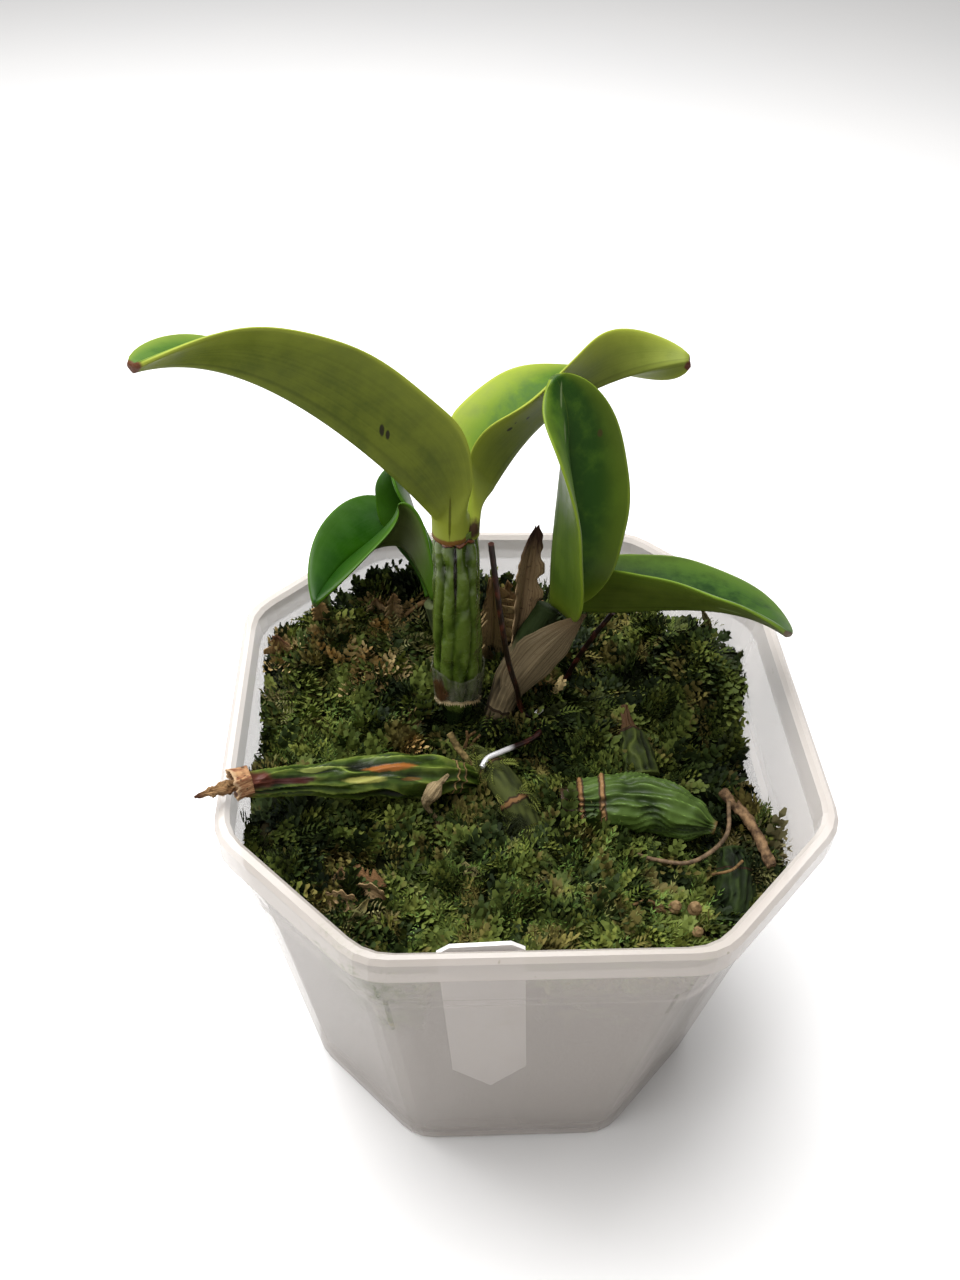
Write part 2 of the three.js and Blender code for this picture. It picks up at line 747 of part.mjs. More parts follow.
// What each blade is trimmed by, so that its foot seats on the piece that carries it.
const SEATS = {
  leaf_main_left: ["pseudobulb_main"],
  leaf_main_right: ["pseudobulb_main", "leaf_main_left"],
  leaf_right_upright: ["stem_right_growth"],
  leaf_right_low: ["stem_right_growth", "leaf_right_upright"],
  leaf_left_low: ["stem_left_growth"],
  leaf_left_up: ["stem_left_growth", "leaf_left_low"],
  sheath_spike: ["stem_right_growth", "leaf_right_low"],
  sheath_fan: ["stem_right_growth", "leaf_right_upright"],
};
const blades = { ...LEAVES, ...SCRAPS };

function grown(name) {
  return name in STALKS ? stalk(STALKS[name], CLEARANCE) : blade(blades[name], LEAF, CLEARANCE);
}

function seatedBlade(name) {
  const seats = SEATS[name] ?? [];
  const whole = blade(blades[name], name in LEAVES ? LEAF : SCRAP);
  return mainBody(seats.reduce((rest, seat) => rest.subtract(grown(seat)), whole));
}

const stalks = Object.fromEntries(Object.entries(STALKS).map(([name, spec]) => [name, stalk(spec)]));
stalks.pseudobulb_left_lying = stalks.pseudobulb_left_lying.add(lyingKnobs());
stalks.dried_bud = mainBody(stalks.dried_bud.subtract(grown("pseudobulb_left_lying")));

addPiece("pot", makePot(), "pot");
addPiece("plant_label", makeLabel(), "label");
for (const [name, solid] of Object.entries(stalks)) addPiece(name, solid, STALKS[name].finish ?? "bulb");
for (const name of Object.keys(blades)) addPiece(name, seatedBlade(name), name in LEAVES ? "leaf" : "dry");
for (const [name, spec] of Object.entries(TUBES))
  addPiece(name, tube(spec), name.startsWith("wire") ? "wire" : "twig");
addPiece("sheath_main", makeSleeve(), "dry");

const holes = [
  makeLabel(CLEARANCE),
  ...Object.values(STALKS).map((spec) => stalk(spec, CLEARANCE)),
  ...Object.values(TUBES).map((spec) => tube(spec, CLEARANCE)),
  ...Object.values(SCRAPS).map((spec) => blade(spec, SCRAP, CLEARANCE)),
];
addPiece("moss", makeMoss(holes), "moss");

export default group;
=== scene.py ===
# %% [markdown]
# # A cattleya seedling in its pot
# The part comes as a fixed frame: thirty-one plain solids, in metres, with +Z up and the origin under
# the middle of the pot. This lesson dresses them. The leaves, pseudobulbs, sheaths and wires are made
# again from the same named values, with the fine shape that plain solids leave out, and the moss is
# grown over its bed. The pot and the label keep their solids and get a better finish.

import json
import math

import bpy
import numpy as np
from mathutils import Matrix, Vector, noise

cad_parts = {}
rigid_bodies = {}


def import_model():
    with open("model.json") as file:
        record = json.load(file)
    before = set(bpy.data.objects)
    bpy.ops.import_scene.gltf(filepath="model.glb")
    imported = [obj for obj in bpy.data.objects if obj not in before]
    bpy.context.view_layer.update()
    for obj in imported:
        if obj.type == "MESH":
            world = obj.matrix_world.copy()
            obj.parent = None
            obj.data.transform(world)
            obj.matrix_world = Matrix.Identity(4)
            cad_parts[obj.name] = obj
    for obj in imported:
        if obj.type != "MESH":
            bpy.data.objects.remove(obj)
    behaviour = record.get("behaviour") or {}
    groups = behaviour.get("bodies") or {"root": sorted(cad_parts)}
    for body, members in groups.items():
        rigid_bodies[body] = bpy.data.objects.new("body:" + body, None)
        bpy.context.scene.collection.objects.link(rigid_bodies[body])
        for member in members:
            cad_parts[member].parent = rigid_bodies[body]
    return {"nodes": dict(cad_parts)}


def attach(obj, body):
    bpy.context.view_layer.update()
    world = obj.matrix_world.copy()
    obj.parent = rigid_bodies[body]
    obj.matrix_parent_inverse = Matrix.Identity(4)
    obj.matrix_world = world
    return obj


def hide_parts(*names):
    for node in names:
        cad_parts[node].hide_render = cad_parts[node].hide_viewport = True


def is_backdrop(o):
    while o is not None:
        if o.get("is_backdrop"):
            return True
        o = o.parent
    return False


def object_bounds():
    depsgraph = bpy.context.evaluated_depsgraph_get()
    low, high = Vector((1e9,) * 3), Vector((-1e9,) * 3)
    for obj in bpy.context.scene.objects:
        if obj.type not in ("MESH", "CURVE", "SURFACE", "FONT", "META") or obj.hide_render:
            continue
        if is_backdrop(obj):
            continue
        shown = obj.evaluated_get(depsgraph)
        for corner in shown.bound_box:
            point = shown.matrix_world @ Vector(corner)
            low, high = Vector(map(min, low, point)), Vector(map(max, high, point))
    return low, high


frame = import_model()
cad_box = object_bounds()
MM = 0.001
print("nodes in the frame:", len(frame["nodes"]))
print("box of the solids in mm:", [round(c / MM, 1) for corner in cad_box for c in corner])

# %% [markdown]
# ## The camera and the light
# The camera looks down on the pot from the front, a little to its left, as a person does who holds
# a telephone over a table. Its place and its angles are measured. Soft light comes from a large lamp
# overhead, a weak one at the side and a pale room, so shadows are gentle and the wet skin of the plant
# still shines.

# %% The camera
CAMERA_PLACE = (-17.83, -138.52, 227.23)
CAMERA_PITCH, CAMERA_YAW, CAMERA_ROLL = (math.radians(a) for a in (42.99, -4.256, 2.521))
LENS = 32.64
SENSOR_WIDTH = 36
NEAREST = 5


def placed(name, data):
    """A new object of the scene for a mesh, a lamp or a camera."""
    item = bpy.data.objects.new(name, data)
    bpy.context.scene.collection.objects.link(item)
    return item


def camera_axes(pitch, yaw, roll):
    """The directions of the picture's right side, of its top, and back towards the eye."""
    ahead = Vector((-math.sin(yaw) * math.cos(pitch), math.cos(yaw) * math.cos(pitch), -math.sin(pitch)))
    level = Vector((math.cos(yaw), math.sin(yaw), 0))
    upright = level.cross(ahead)
    right = math.cos(roll) * level + math.sin(roll) * upright
    top = math.cos(roll) * upright - math.sin(roll) * level
    return right, top, -ahead


camera = placed("camera", bpy.data.cameras.new("camera"))
camera.data.lens = LENS
camera.data.sensor_width = SENSOR_WIDTH
camera.data.clip_start = NEAREST * MM
turn = Matrix(camera_axes(CAMERA_PITCH, CAMERA_YAW, CAMERA_ROLL)).transposed().to_4x4()
camera.matrix_world = Matrix.Translation(Vector(CAMERA_PLACE) * MM) @ turn
bpy.context.scene.camera = camera
print("camera at", CAMERA_PLACE, "mm, lens", LENS, "mm")

# %% The lamps and the room
LAMPS = {
    "overhead": {"place": (-120, 140, 620), "size": 560, "power": 8.0},
    "side": {"place": (-420, -260, 330), "size": 260, "power": 0.6},
}
PLANT_MIDDLE = (0, 0, 80)
ROOM_LIGHT = 0.4
ROOM_COLOUR = (1, 0.99, 0.975, 1)


def add_lamp(name, place, size, power):
    """A square lamp, its side in mm and its power in watts, that looks at the middle of the plant."""
    lamp = bpy.data.lights.new(name, "AREA")
    lamp.size = size * MM
    lamp.energy = power
    holder = placed(name, lamp)
    holder.location = Vector(place) * MM
    towards = Vector(PLANT_MIDDLE) - Vector(place)
    holder.rotation_euler = towards.to_track_quat("-Z", "Y").to_euler()


for lamp_name, lamp_values in LAMPS.items():
    add_lamp(lamp_name, **lamp_values)
room = bpy.data.worlds.new("room")
room.use_nodes = True
glow = room.node_tree.nodes["Background"]
glow.inputs["Color"].default_value = ROOM_COLOUR
glow.inputs["Strength"].default_value = ROOM_LIGHT
bpy.context.scene.world = room
bpy.context.scene.view_settings.view_transform = "Standard"
print("lamps:", list(LAMPS), "and a room of strength", ROOM_LIGHT)

# %% [markdown]
# ## Finishes
# Every finish is a Principled shader with colour, roughness and bump worked out by nodes. The same few
# nodes come back in each: noise, a colour ramp, a mix, a soft patch. Recipe gives them short names, so
# that a finish reads as a list of what a painter would do.


# %% Colours
def paint(red, green, blue):
    """A colour as it is seen, from 0 to 255, as the linear colour that Blender works in."""
    seen = [channel / 255 for channel in (red, green, blue)]
    return [c / 12.92 if c <= 0.04045 else ((c + 0.055) / 1.055) ** 2.4 for c in seen] + [1]


def darker(colour, share):
    return tuple(share * channel for channel in colour)


print("a dark green in linear values:", [round(c, 3) for c in paint(44, 78, 12)])


# %% Short names for nodes
class Nodes:
    """Short names for making the nodes of a tree and joining them."""

    def add(self, kind, inputs=(), **settings):
        """A node. inputs gives its sockets, by name or number, a value or another node's socket."""
        node = self.tree.nodes.new(kind)
        for key, value in settings.items():
            setattr(node, key, value)
        for key, value in dict(inputs).items():
            self.give(value, node.inputs[key])
        return node

    def give(self, value, socket):
        if isinstance(value, bpy.types.NodeSocket):
            self.tree.links.new(value, socket)
        else:
            socket.default_value = value

    def math(self, operation, *values):
        return self.add("ShaderNodeMath", enumerate(values), operation=operation).outputs["Value"]

    def vector(self, operation, *values):
        return self.add("ShaderNodeVectorMath", enumerate(values), operation=operation)

    def plus(self, a, b):
        return self.math("ADD", a, b)

    def minus(self, a, b):
        return self.math("SUBTRACT", a, b)

    def times(self, a, b):
        return self.math("MULTIPLY", a, b)

    def swing(self, value, amount):
        """A noise as a number that goes up and down about 0."""
        return self.times(self.minus(value, 0.5), amount)


print("short names:", ", ".join(word for word in vars(Nodes) if not word.startswith("_")))


# %% The recipe for a finish
class Recipe(Nodes):
    """A material and short names for what its finish is made of."""

    def __init__(self, name, **uniform):
        self.material = bpy.data.materials.new(name)
        self.material.use_nodes = True
        self.tree = self.material.node_tree
        self.shader = self.tree.nodes["Principled BSDF"]
        self.set(**uniform)

    def set(self, **sockets):
        for key, value in sockets.items():
            self.give(value, self.shader.inputs[key.replace("_", " ")])

    def attribute(self, name):
        return self.add("ShaderNodeAttribute", attribute_name=name).outputs["Fac"]

    def place(self):
        return self.add("ShaderNodeTexCoord").outputs["Object"]

    def height(self):
        return self.add("ShaderNodeSeparateXYZ", {"Vector": self.place()}).outputs["Z"]

    def join(self, x, y):
        return self.add("ShaderNodeCombineXYZ", {"X": x, "Y": y}).outputs["Vector"]

    def stretch(self, vector, scale):
        return self.add("ShaderNodeMapping", {"Vector": vector, "Scale": scale}).outputs["Vector"]

    def noise(self, vector, scale, detail=4.0, roughness=0.55, distortion=0.0):
        inputs = {"Vector": vector, "Scale": scale, "Detail": detail}
        inputs |= {"Roughness": roughness, "Distortion": distortion}
        return self.add("ShaderNodeTexNoise", inputs).outputs["Fac"]

    def between(self, value, low, high, start=0.0, end=1.0):
        """0 below low, 1 above high and a soft step between."""
        inputs = {"Value": value, "From Min": low, "From Max": high, "To Min": start, "To Max": end}
        return self.add("ShaderNodeMapRange", inputs, interpolation_type="SMOOTHSTEP").outputs["Result"]

    def mix(self, factor, a, b):
        """A blend of two colours, each a socket or a colour as it is seen."""
        node = self.add("ShaderNodeMix", {0: factor}, data_type="RGBA")
        for colour, socket in ((a, node.inputs[6]), (b, node.inputs[7])):
            self.give(paint(*colour) if isinstance(colour, tuple) else colour, socket)
        return node.outputs[2]

    def ramp(self, value, *stops):
        """Colours by value. The first and the last stop come first, and those between them after."""
        node = self.add("ShaderNodeValToRGB", {"Fac": value})
        elements = node.color_ramp.elements
        for element, (position, colour) in zip(elements, stops):
            element.position, element.color = position, paint(*colour)
        for position, colour in stops[2:]:
            elements.new(position).color = paint(*colour)
        return node.outputs["Color"]

    def inside(self, far, grain, ragged, soft):
        """1 where far is under 1 and 0 beyond it, with an edge that a noise makes ragged."""
        wobble = self.minus(self.times(grain, 2 * ragged), ragged)
        return self.between(self.plus(far, wobble), 1 + soft, 1 - soft)

    def patch(self, centre, size, ragged=0.35, soft=0.25):
        """1 inside a ragged oval round a place on the piece, in mm, and 0 outside it."""
        away = self.vector("SUBTRACT", self.place(), [c * MM for c in centre])
        scaled = self.vector("MULTIPLY", away.outputs[0], [1 / (s * MM) for s in size])
        far = self.vector("LENGTH", scaled.outputs[0]).outputs["Value"]
        return self.inside(far, self.noise(self.place(), 900.0), ragged, soft)

    def spot(self, along, angle, place, size):
        """1 inside a ragged oval on a round stalk, by its share along and its angle, and 0 outside."""
        run = self.math("DIVIDE", self.minus(along, place[0]), size[0])
        around = self.math("ABSOLUTE", self.minus(angle, place[1]))
        around = self.math("MINIMUM", around, self.minus(2 * math.pi, around))
        far = self.vector("LENGTH", self.join(run, self.math("DIVIDE", around, size[1]))).outputs["Value"]
        return self.inside(far, self.noise(self.place(), 600.0, detail=5), ragged=0.5, soft=0.3)

    def bump(self, height, depth, strength=1.0):
        inputs = {"Height": height, "Distance": depth * MM, "Strength": strength}
        self.set(Normal=self.add("ShaderNodeBump", inputs).outputs["Normal"])


print("a recipe adds:", ", ".join(word for word in vars(Recipe) if not word.startswith("_")))

# %% [markdown]
# ## Shapes
# All new shapes are lofts: rings of points, joined ring to ring, with both ends closed. A loft keeps two
# values for each point, its share of the way along and across or around, so that a finish can follow
# the surface of a leaf that folds and twists.


# %% Curves
def bezier(points, t):
    """Bezier blend of rows of numbers."""
    row = np.array(points, float)
    while len(row) > 1:
        row = row[:-1] + (row[1:] - row[:-1]) * t
    return row[0]


def spread(values, t):
    """Eased steps from one to the next of evenly spaced numbers."""
    place = np.asarray(t, float) * (len(values) - 1)
    i = np.minimum(place.astype(int), len(values) - 2)
    values = np.array(values, float)
    return values[i] + (values[i + 1] - values[i]) * ease(place - i)


def ease(x, low=0.0, high=1.0):
    """0 below low, 1 above high and a soft step between."""
    x = np.clip((np.asarray(x, float) - low) / (high - low), 0, 1)
    return x * x * (3 - 2 * x)


def smooth_curve(points, count=400):
    """Points on the smooth curve through the given ones, close together."""
    p = [Vector(q) for q in points]
    p = [2 * p[0] - p[1], *p, 2 * p[-1] - p[-2]]
    steps = count // (len(points) - 1)
    curve = []
    for a, b, c, d in zip(p, p[1:], p[2:], p[3:]):
        before, here, after = (math.sqrt((n - m).length) for m, n in ((a, b), (b, c), (c, d)))
        start = ((b - a) / before - (c - a) / (before + here) + (c - b) / here) * here
        end = ((c - b) / here - (d - b) / (here + after) + (d - c) / after) * here
        for t in np.arange(steps) / steps:
            bend = (3 * (c - b) - 2 * start - end) * t * t
            turn = (2 * (b - c) + start + end) * t**3
            curve.append(b + start * t + bend + turn)
    return np.array([*curve, p[-2]])


def stations(points, count):
    """Evenly spaced centres along a smooth curve, and two directions across it at each."""
    curve = smooth_curve(points)
    gone = np.concatenate([[0], np.cumsum(np.linalg.norm(np.diff(curve, axis=0), axis=1))])
    wanted = np.linspace(0, 1, count) * gone[-1]
    centres = np.stack([np.interp(wanted, gone, curve[:, i]) for i in range(3)], 1)
    tangents = np.gradient(centres, axis=0)
    tangents /= np.linalg.norm(tangents, axis=1)[:, None]
    first = np.eye(3)[np.argmin(np.abs(tangents[0]))]
    normal = np.cross(tangents[0], np.cross(tangents[0], first))
    normals = []
    for tangent in tangents:
        normal = normal - tangent * (normal @ tangent)
        normal /= np.linalg.norm(normal)
        normals.append(normal)
    normals = np.array(normals)
    return centres, normals, np.cross(tangents, normals)


print("a test curve has", len(smooth_curve([(0, 0, 0), (1, 0, 0), (1, 1, 0)])), "points")


# %% Pieces
def mesh_of(name, points, faces, values=None, smooth=True):
    """A mesh from points in mm, with a value for each point under each name in values."""
    mesh = bpy.data.meshes.new(name)
    mesh.from_pydata((np.asarray(points, float) * MM).tolist(), [], faces)
    for key, column in (values or {}).items():
        mesh.attributes.new(key, "FLOAT", "POINT").data.foreach_set("value", np.asarray(column, np.float32))
    mesh.polygons.foreach_set("use_smooth", [smooth] * len(mesh.polygons))
    mesh.validate()
    return mesh


def add_piece(name, mesh, slot, finish=None, stands_for=None):
    """Shows a mesh and says what it rides on and which solid it stands for. slot, its material slot, is not
    used.
    A mesh that nodes have made brings its finish with it."""
    piece = placed(name, mesh)
    if finish:
        mesh.materials.append(finish)
    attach(piece, "root")
    if stands_for:
        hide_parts(stands_for)
    print(f"{name}: {len(mesh.polygons)} faces")


# %% Lofts
def ring_faces(count, sides, closed=False):
    """Faces between neighbouring rings, and from the last ring to the first where the form is closed."""
    faces = []
    for i in range(count if closed else count - 1):
        low, high = i * sides, (i + 1) % count * sides
        for j in range(sides):
            after = (j + 1) % sides
            faces.append((low + j, low + after, high + after, high + j))
    return faces


def loft(rings, values):
    """Points, faces and values of the closed skin over rings of the same number of points.
    values has a row of numbers for each ring under each name."""
    count, sides, _ = rings.shape
    points = [*rings.reshape(-1, 3), rings[0].mean(0), rings[-1].mean(0)]
    columns = {k: [*v.reshape(-1), v[0].mean(), v[-1].mean()] for k, v in values.items()}
    faces = ring_faces(count, sides)
    last = (count - 1) * sides
    for j in range(sides):
        after = (j + 1) % sides
        faces.append((len(points) - 2, after, j))
        faces.append((len(points) - 1, last + j, last + after))
    return points, faces, columns


print("a loft of 5 rings with 8 points each has", len(loft(np.zeros((5, 8, 3)), {})[1]), "faces")

# %% [markdown]
# ## Leaves
# A cattleya leaf is thick and leathery, folded along its midrib into a trough, and it twists on its
# neck. Each leaf is one blade: the midrib is a Bezier curve, and the section across it is a trough whose
# two halves stand up by an angle that eases from the neck to the tip. The solid leaves have the same
# values, but for the small one on the left, which lies further back here. Many more rings make the
# margins clean curves.

# %% The measures of the leaves
# path: the points that pull the midrib, in mm. mouth: where the open side of the trough looks at the
# foot (compass bearing from +Y, elevation). roll: degrees that it then turns about the midrib. folds:
# degrees that each half stands up from the flat blade. neck: its half width as a share of the widest.
# widest: where along the blade that is. opening: a high value keeps the foot narrow for longer. tip: a
# low value is blunt and a high one pointed.
LEAVES = {
    "leaf_main_left": {
        "path": [
            (-12, 8.6, 111.6), (-14.9, 0.5, 126), (-28.9, 1.5, 138), (-40.3, 2.7, 150.8), (-52.8, -10.2, 153),
        ],
        "mouth": (90, 0), "roll": (41, 83, 72, 51), "folds": (78, 53, 28),
        "half_width": 11.7, "neck": 0.23, "widest": 0.32, "tip": 0.58,
    },
    "leaf_main_right": {
        "path": [
            (-8.4, 12.2, 113.2), (-3.7, 20.8, 119.6), (3, 23.7, 127.7), (10.7, 33, 127.4), (27, 28, 133.2),
        ],
        "mouth": (-80, 0), "roll": (12, 57, 63, -69), "folds": (78, 26, 40),
        "half_width": 12.1, "neck": 0.2, "widest": 0.3, "tip": 0.58,
    },
    "leaf_right_upright": {
        "path": [(5.8, 14.2, 93.4), (5.5, 6.6, 102.3), (3, 13, 114), (9, 16.6, 126.4), (3.2, 18.4, 136)],
        "mouth": (115, 0), "roll": (-5, -34, 6, -37), "folds": (77, 62, 5),
        "half_width": 11.9, "neck": 0.3, "opening": 0.8, "widest": 0.55, "tip": 0.74,
    },
    "leaf_right_low": {
        "path": [(7, 16.2, 91.3), (14.6, 13, 91.1), (26.3, 11.7, 95.4), (37.8, 12, 96.4), (44.8, 2.4, 96)],
        "mouth": (-60, 20), "roll": (-1, -17, 6, -21), "folds": (78, 26, 9),
        "half_width": 13.2, "neck": 0.3, "opening": 0.8, "widest": 0.54, "tip": 0.57,
    },
    "leaf_left_low": {
        "path": [(-14.7, 28, 82), (-20.3, 38.2, 91.7), (-20, 45, 84.3), (-31.5, 35.7, 90), (-36, 17, 90.3)],
        "mouth": (80, 10), "roll": (-19, -17, -49, -50), "folds": (49, 56, 28),
        "half_width": 12, "neck": 0.28, "widest": 0.37, "tip": 0.85, "lopsided": 0.5,
    },
    "leaf_left_up": {
        "path": [
            (-14.6, 30.6, 81), (-16.4, 41, 86.6), (-19, 43.4, 91.6), (-19.5, 42.2, 98.8),
            (-22.2, 42.3, 102.8),
        ],
        "mouth": (-75, 10), "roll": (17, 45, 36, 1), "folds": (61, 41, 38),
        "half_width": 6.6, "neck": 0.24, "widest": 0.55, "tip": 0.56,
    },
}
print("leaves:", ", ".join(LEAVES))

# %% The section of a blade
# Shares of the half width where the section has a point: close together at the midrib and the margin.
ACROSS = (0, 0.03, 0.08, 0.16, 0.26, 0.37, 0.48, 0.6, 0.72, 0.83, 0.92, 0.97, 1)
CURL = (1.133, 0.733)  # how sharp a fold is at the midrib and at the margin, for each unit of its angle
STEEPEST = 1.5  # radians
OPENING = 1.6
TAPER = 2.2
MIDRIB_ROUND = 0.08  # share of the half width over which the two halves meet in a soft bend
HALVES_APART = 0.25  # mm that a front face keeps from the middle plane at its margin
THINNING = 0.35  # how much thinner a blade is at its tip
THIN_NECK = (0.62, 0.25)  # the share of its thickness that it has at the foot, and where it has all
THIN_MARGIN = (0.6, 0.93)  # how much thinner the very margin is, and where that starts


def compass(bearing, elevation):
    """A direction from its bearing, clockwise from +Y, and its angle above the horizon, in degrees."""
    b, e = math.radians(bearing), math.radians(elevation)
    return np.array([math.sin(b) * math.cos(e), math.cos(b) * math.cos(e), math.sin(e)])


def half_width(spec, t):
    """How wide a half of the blade is at a share of its length."""
    grown = math.sin(min(t / spec["widest"], 1) * math.pi / 2) ** spec.get("opening", OPENING)
    opened = spec["neck"] + (1 - spec["neck"]) * grown
    closed = (1 - max((t - spec["widest"]) / (1 - spec["widest"]), 0) ** TAPER) ** spec["tip"]
    return spec["half_width"] * opened * closed


def half_section(width, fold, thickness):
    """The back and the front of half a section, as places sideways and forwards from the midrib."""
    back, front = [], []
    x = y = before = 0.0
    for u in ACROSS:
        slope = min(fold * (CURL[0] + (CURL[1] - CURL[0]) * u), STEEPEST)
        x += width * (u - before) * math.cos(slope)
        y += width * (u - before) * math.sin(slope)
        before = u
        lean = slope * float(ease(u, 0, MIDRIB_ROUND))
        half = thickness(u) / 2
        back.append((x + half * math.sin(lean), y - half * math.cos(lean)))
        front.append((max(x - half * math.sin(lean), HALVES_APART * u), y + half * math.cos(lean)))
    lowest = front[0][1]
    front = [(a, max(b, lowest)) for a, b in front]
    return np.array(back), np.array(front)


third = half_width(LEAVES["leaf_main_left"], 1 / 3)
print("half width of the left main leaf at a third:", round(third, 1), "mm")


# %% The blade
def blade(spec, middle, edge, along=64, end=0.994, narrowest=0.3, wave=0.0):
    """The rings of a blade, and for each point its share along, across and whether it is on the back.
    middle and edge are its thickness, and wave is how far its margin goes up and down, in mm."""
    path = np.array(spec["path"], float)
    mouth = compass(*spec["mouth"])
    rings, shares = [], []
    for t in np.linspace(0, end, along):
        centre = bezier(path, t)
        ahead = bezier(path, t + 0.005) - bezier(path, t - 0.005)
        ahead /= np.linalg.norm(ahead)
        mouth = mouth - ahead * (mouth @ ahead)
        mouth /= np.linalg.norm(mouth)
        roll = math.radians(bezier([[r] for r in spec.get("roll", (0,))], t)[0])
        face = mouth * math.cos(roll) + np.cross(ahead, mouth) * math.sin(roll)
        side = np.cross(ahead, face)
        fold = math.radians(bezier([[f] for f in spec["folds"]], t)[0])
        thickened = THIN_NECK[0] + (1 - THIN_NECK[0]) * float(ease(t, 0, THIN_NECK[1]))
        thin = (1 - THINNING * t) * thickened
        slim = 1 - spec.get("lopsided", 0) * (1 - float(ease(t, 0.27, 0.52)))

        def thickness(u):
            sharpened = 1 - THIN_MARGIN[0] * float(ease(u, THIN_MARGIN[1], 1))
            return thin * (middle + (edge - middle) * u * u) * sharpened

        back, front = half_section(max(half_width(spec, t), narrowest), fold, thickness)
        u = np.array(ACROSS)
        ripple = wave * np.sin(23 * t + 1.7) * u**3
        section = [
            *[(-a, b, -v, 0) for (a, b), v in zip(front[::-1], u[::-1])],
            *[(a * slim, b * slim, v, 0) for (a, b), v in zip(front[1:], u[1:])],
            *[(a * slim, b * slim, v, 1) for (a, b), v in zip(back[::-1], u[::-1])],
            *[(-a, b, -v, 1) for (a, b), v in zip(back[1:], u[1:])],
        ]
        lift = np.interp([abs(s[2]) for s in section], u, ripple)
        rings.append([centre + side * s[0] + face * (s[1] + k) for s, k in zip(section, lift)])
        shares.append([(t, s[2], s[3]) for s in section])
    shares = np.array(shares)
    return np.array(rings), {"along": shares[:, :, 0], "across": shares[:, :, 1], "back": shares[:, :, 2]}


test_rings, _ = blade(LEAVES["leaf_left_up"], middle=1, edge=1, along=5)
print("a coarse leaf has", test_rings.shape[0], "rings of", test_rings.shape[1], "points")

# %% [markdown]
# The two leaves of the upright pseudobulb stand on it by short necks that are round at the foot. A neck
# belongs to the same skin as its leaf: its rings pass from an oval on the pseudobulb into the folded
# section of the blade, point by point.

# %% The necks
# foot: the middle of the oval on the pseudobulb, in mm. size: its half widths. ring: the first ring of
# the blade that is kept.
NECKS = {
    "leaf_main_left": {"foot": (-12.3, 9.1, 112.6), "size": (3.05, 3.1), "ring": 9},
    "leaf_main_right": {"foot": (-9.3, 9.9, 112.2), "size": (1.7, 2.1), "ring": 9},
}


def with_neck(rings, values, foot, size, ring, steps=30):
    """Puts a neck before a blade: the oval is turned so that its points have the shortest way to go."""
    rings, values = rings[ring:], {k: v[ring:] for k, v in values.items()}
    middle = rings[0].mean(0)
    section = rings[0] - middle
    count = len(section)
    ovals = []
    for way in (1, -1):
        for first in range(0, count, 2):
            turn = 2 * math.pi * (way * np.arange(count) + first) / count
            ovals.append(np.stack([size[0] * np.cos(turn), size[1] * np.sin(turn), np.zeros(count)], 1))
    oval = min(ovals, key=lambda one: ((one - section) ** 2).sum())
    share = np.linspace(0, 1, steps, endpoint=False)[:, None, None]
    blend = ease(share, 0.45, 1.1) / float(ease(1, 0.45, 1.1))
    sway = ease(share, 0.2, 1.2) / float(ease(1, 0.2, 1.2))
    path = np.array(foot) + (middle - np.array(foot)) * np.concatenate([sway, sway, share], 2)
    stalk = path + (1 - blend) * oval + blend * section
    early = {k: np.repeat(v[:1], steps, 0) for k, v in values.items()}
    early["along"] = early["along"] * (0.02 + 0.98 * share[..., 0])
    early["across"] = early["across"] * share[..., 0]
    return np.concatenate([stalk, rings]), {k: np.concatenate([early[k], v]) for k, v in values.items()}


print("necks:", ", ".join(NECKS))

# %% [markdown]
# The skin of a leaf has two faces. The upper face is deep green and mottled, the underside matt and
# olive, with faint veins that run along it. The margin is a thin band of yellow green, where light comes
# through, the tip has dried brown, and a pale line follows the midrib. All of it follows the two shares
# that the blade keeps, so it bends with the leaf.


# %% The finish of a leaf
DRIED_TIP = (84, 48, 26)


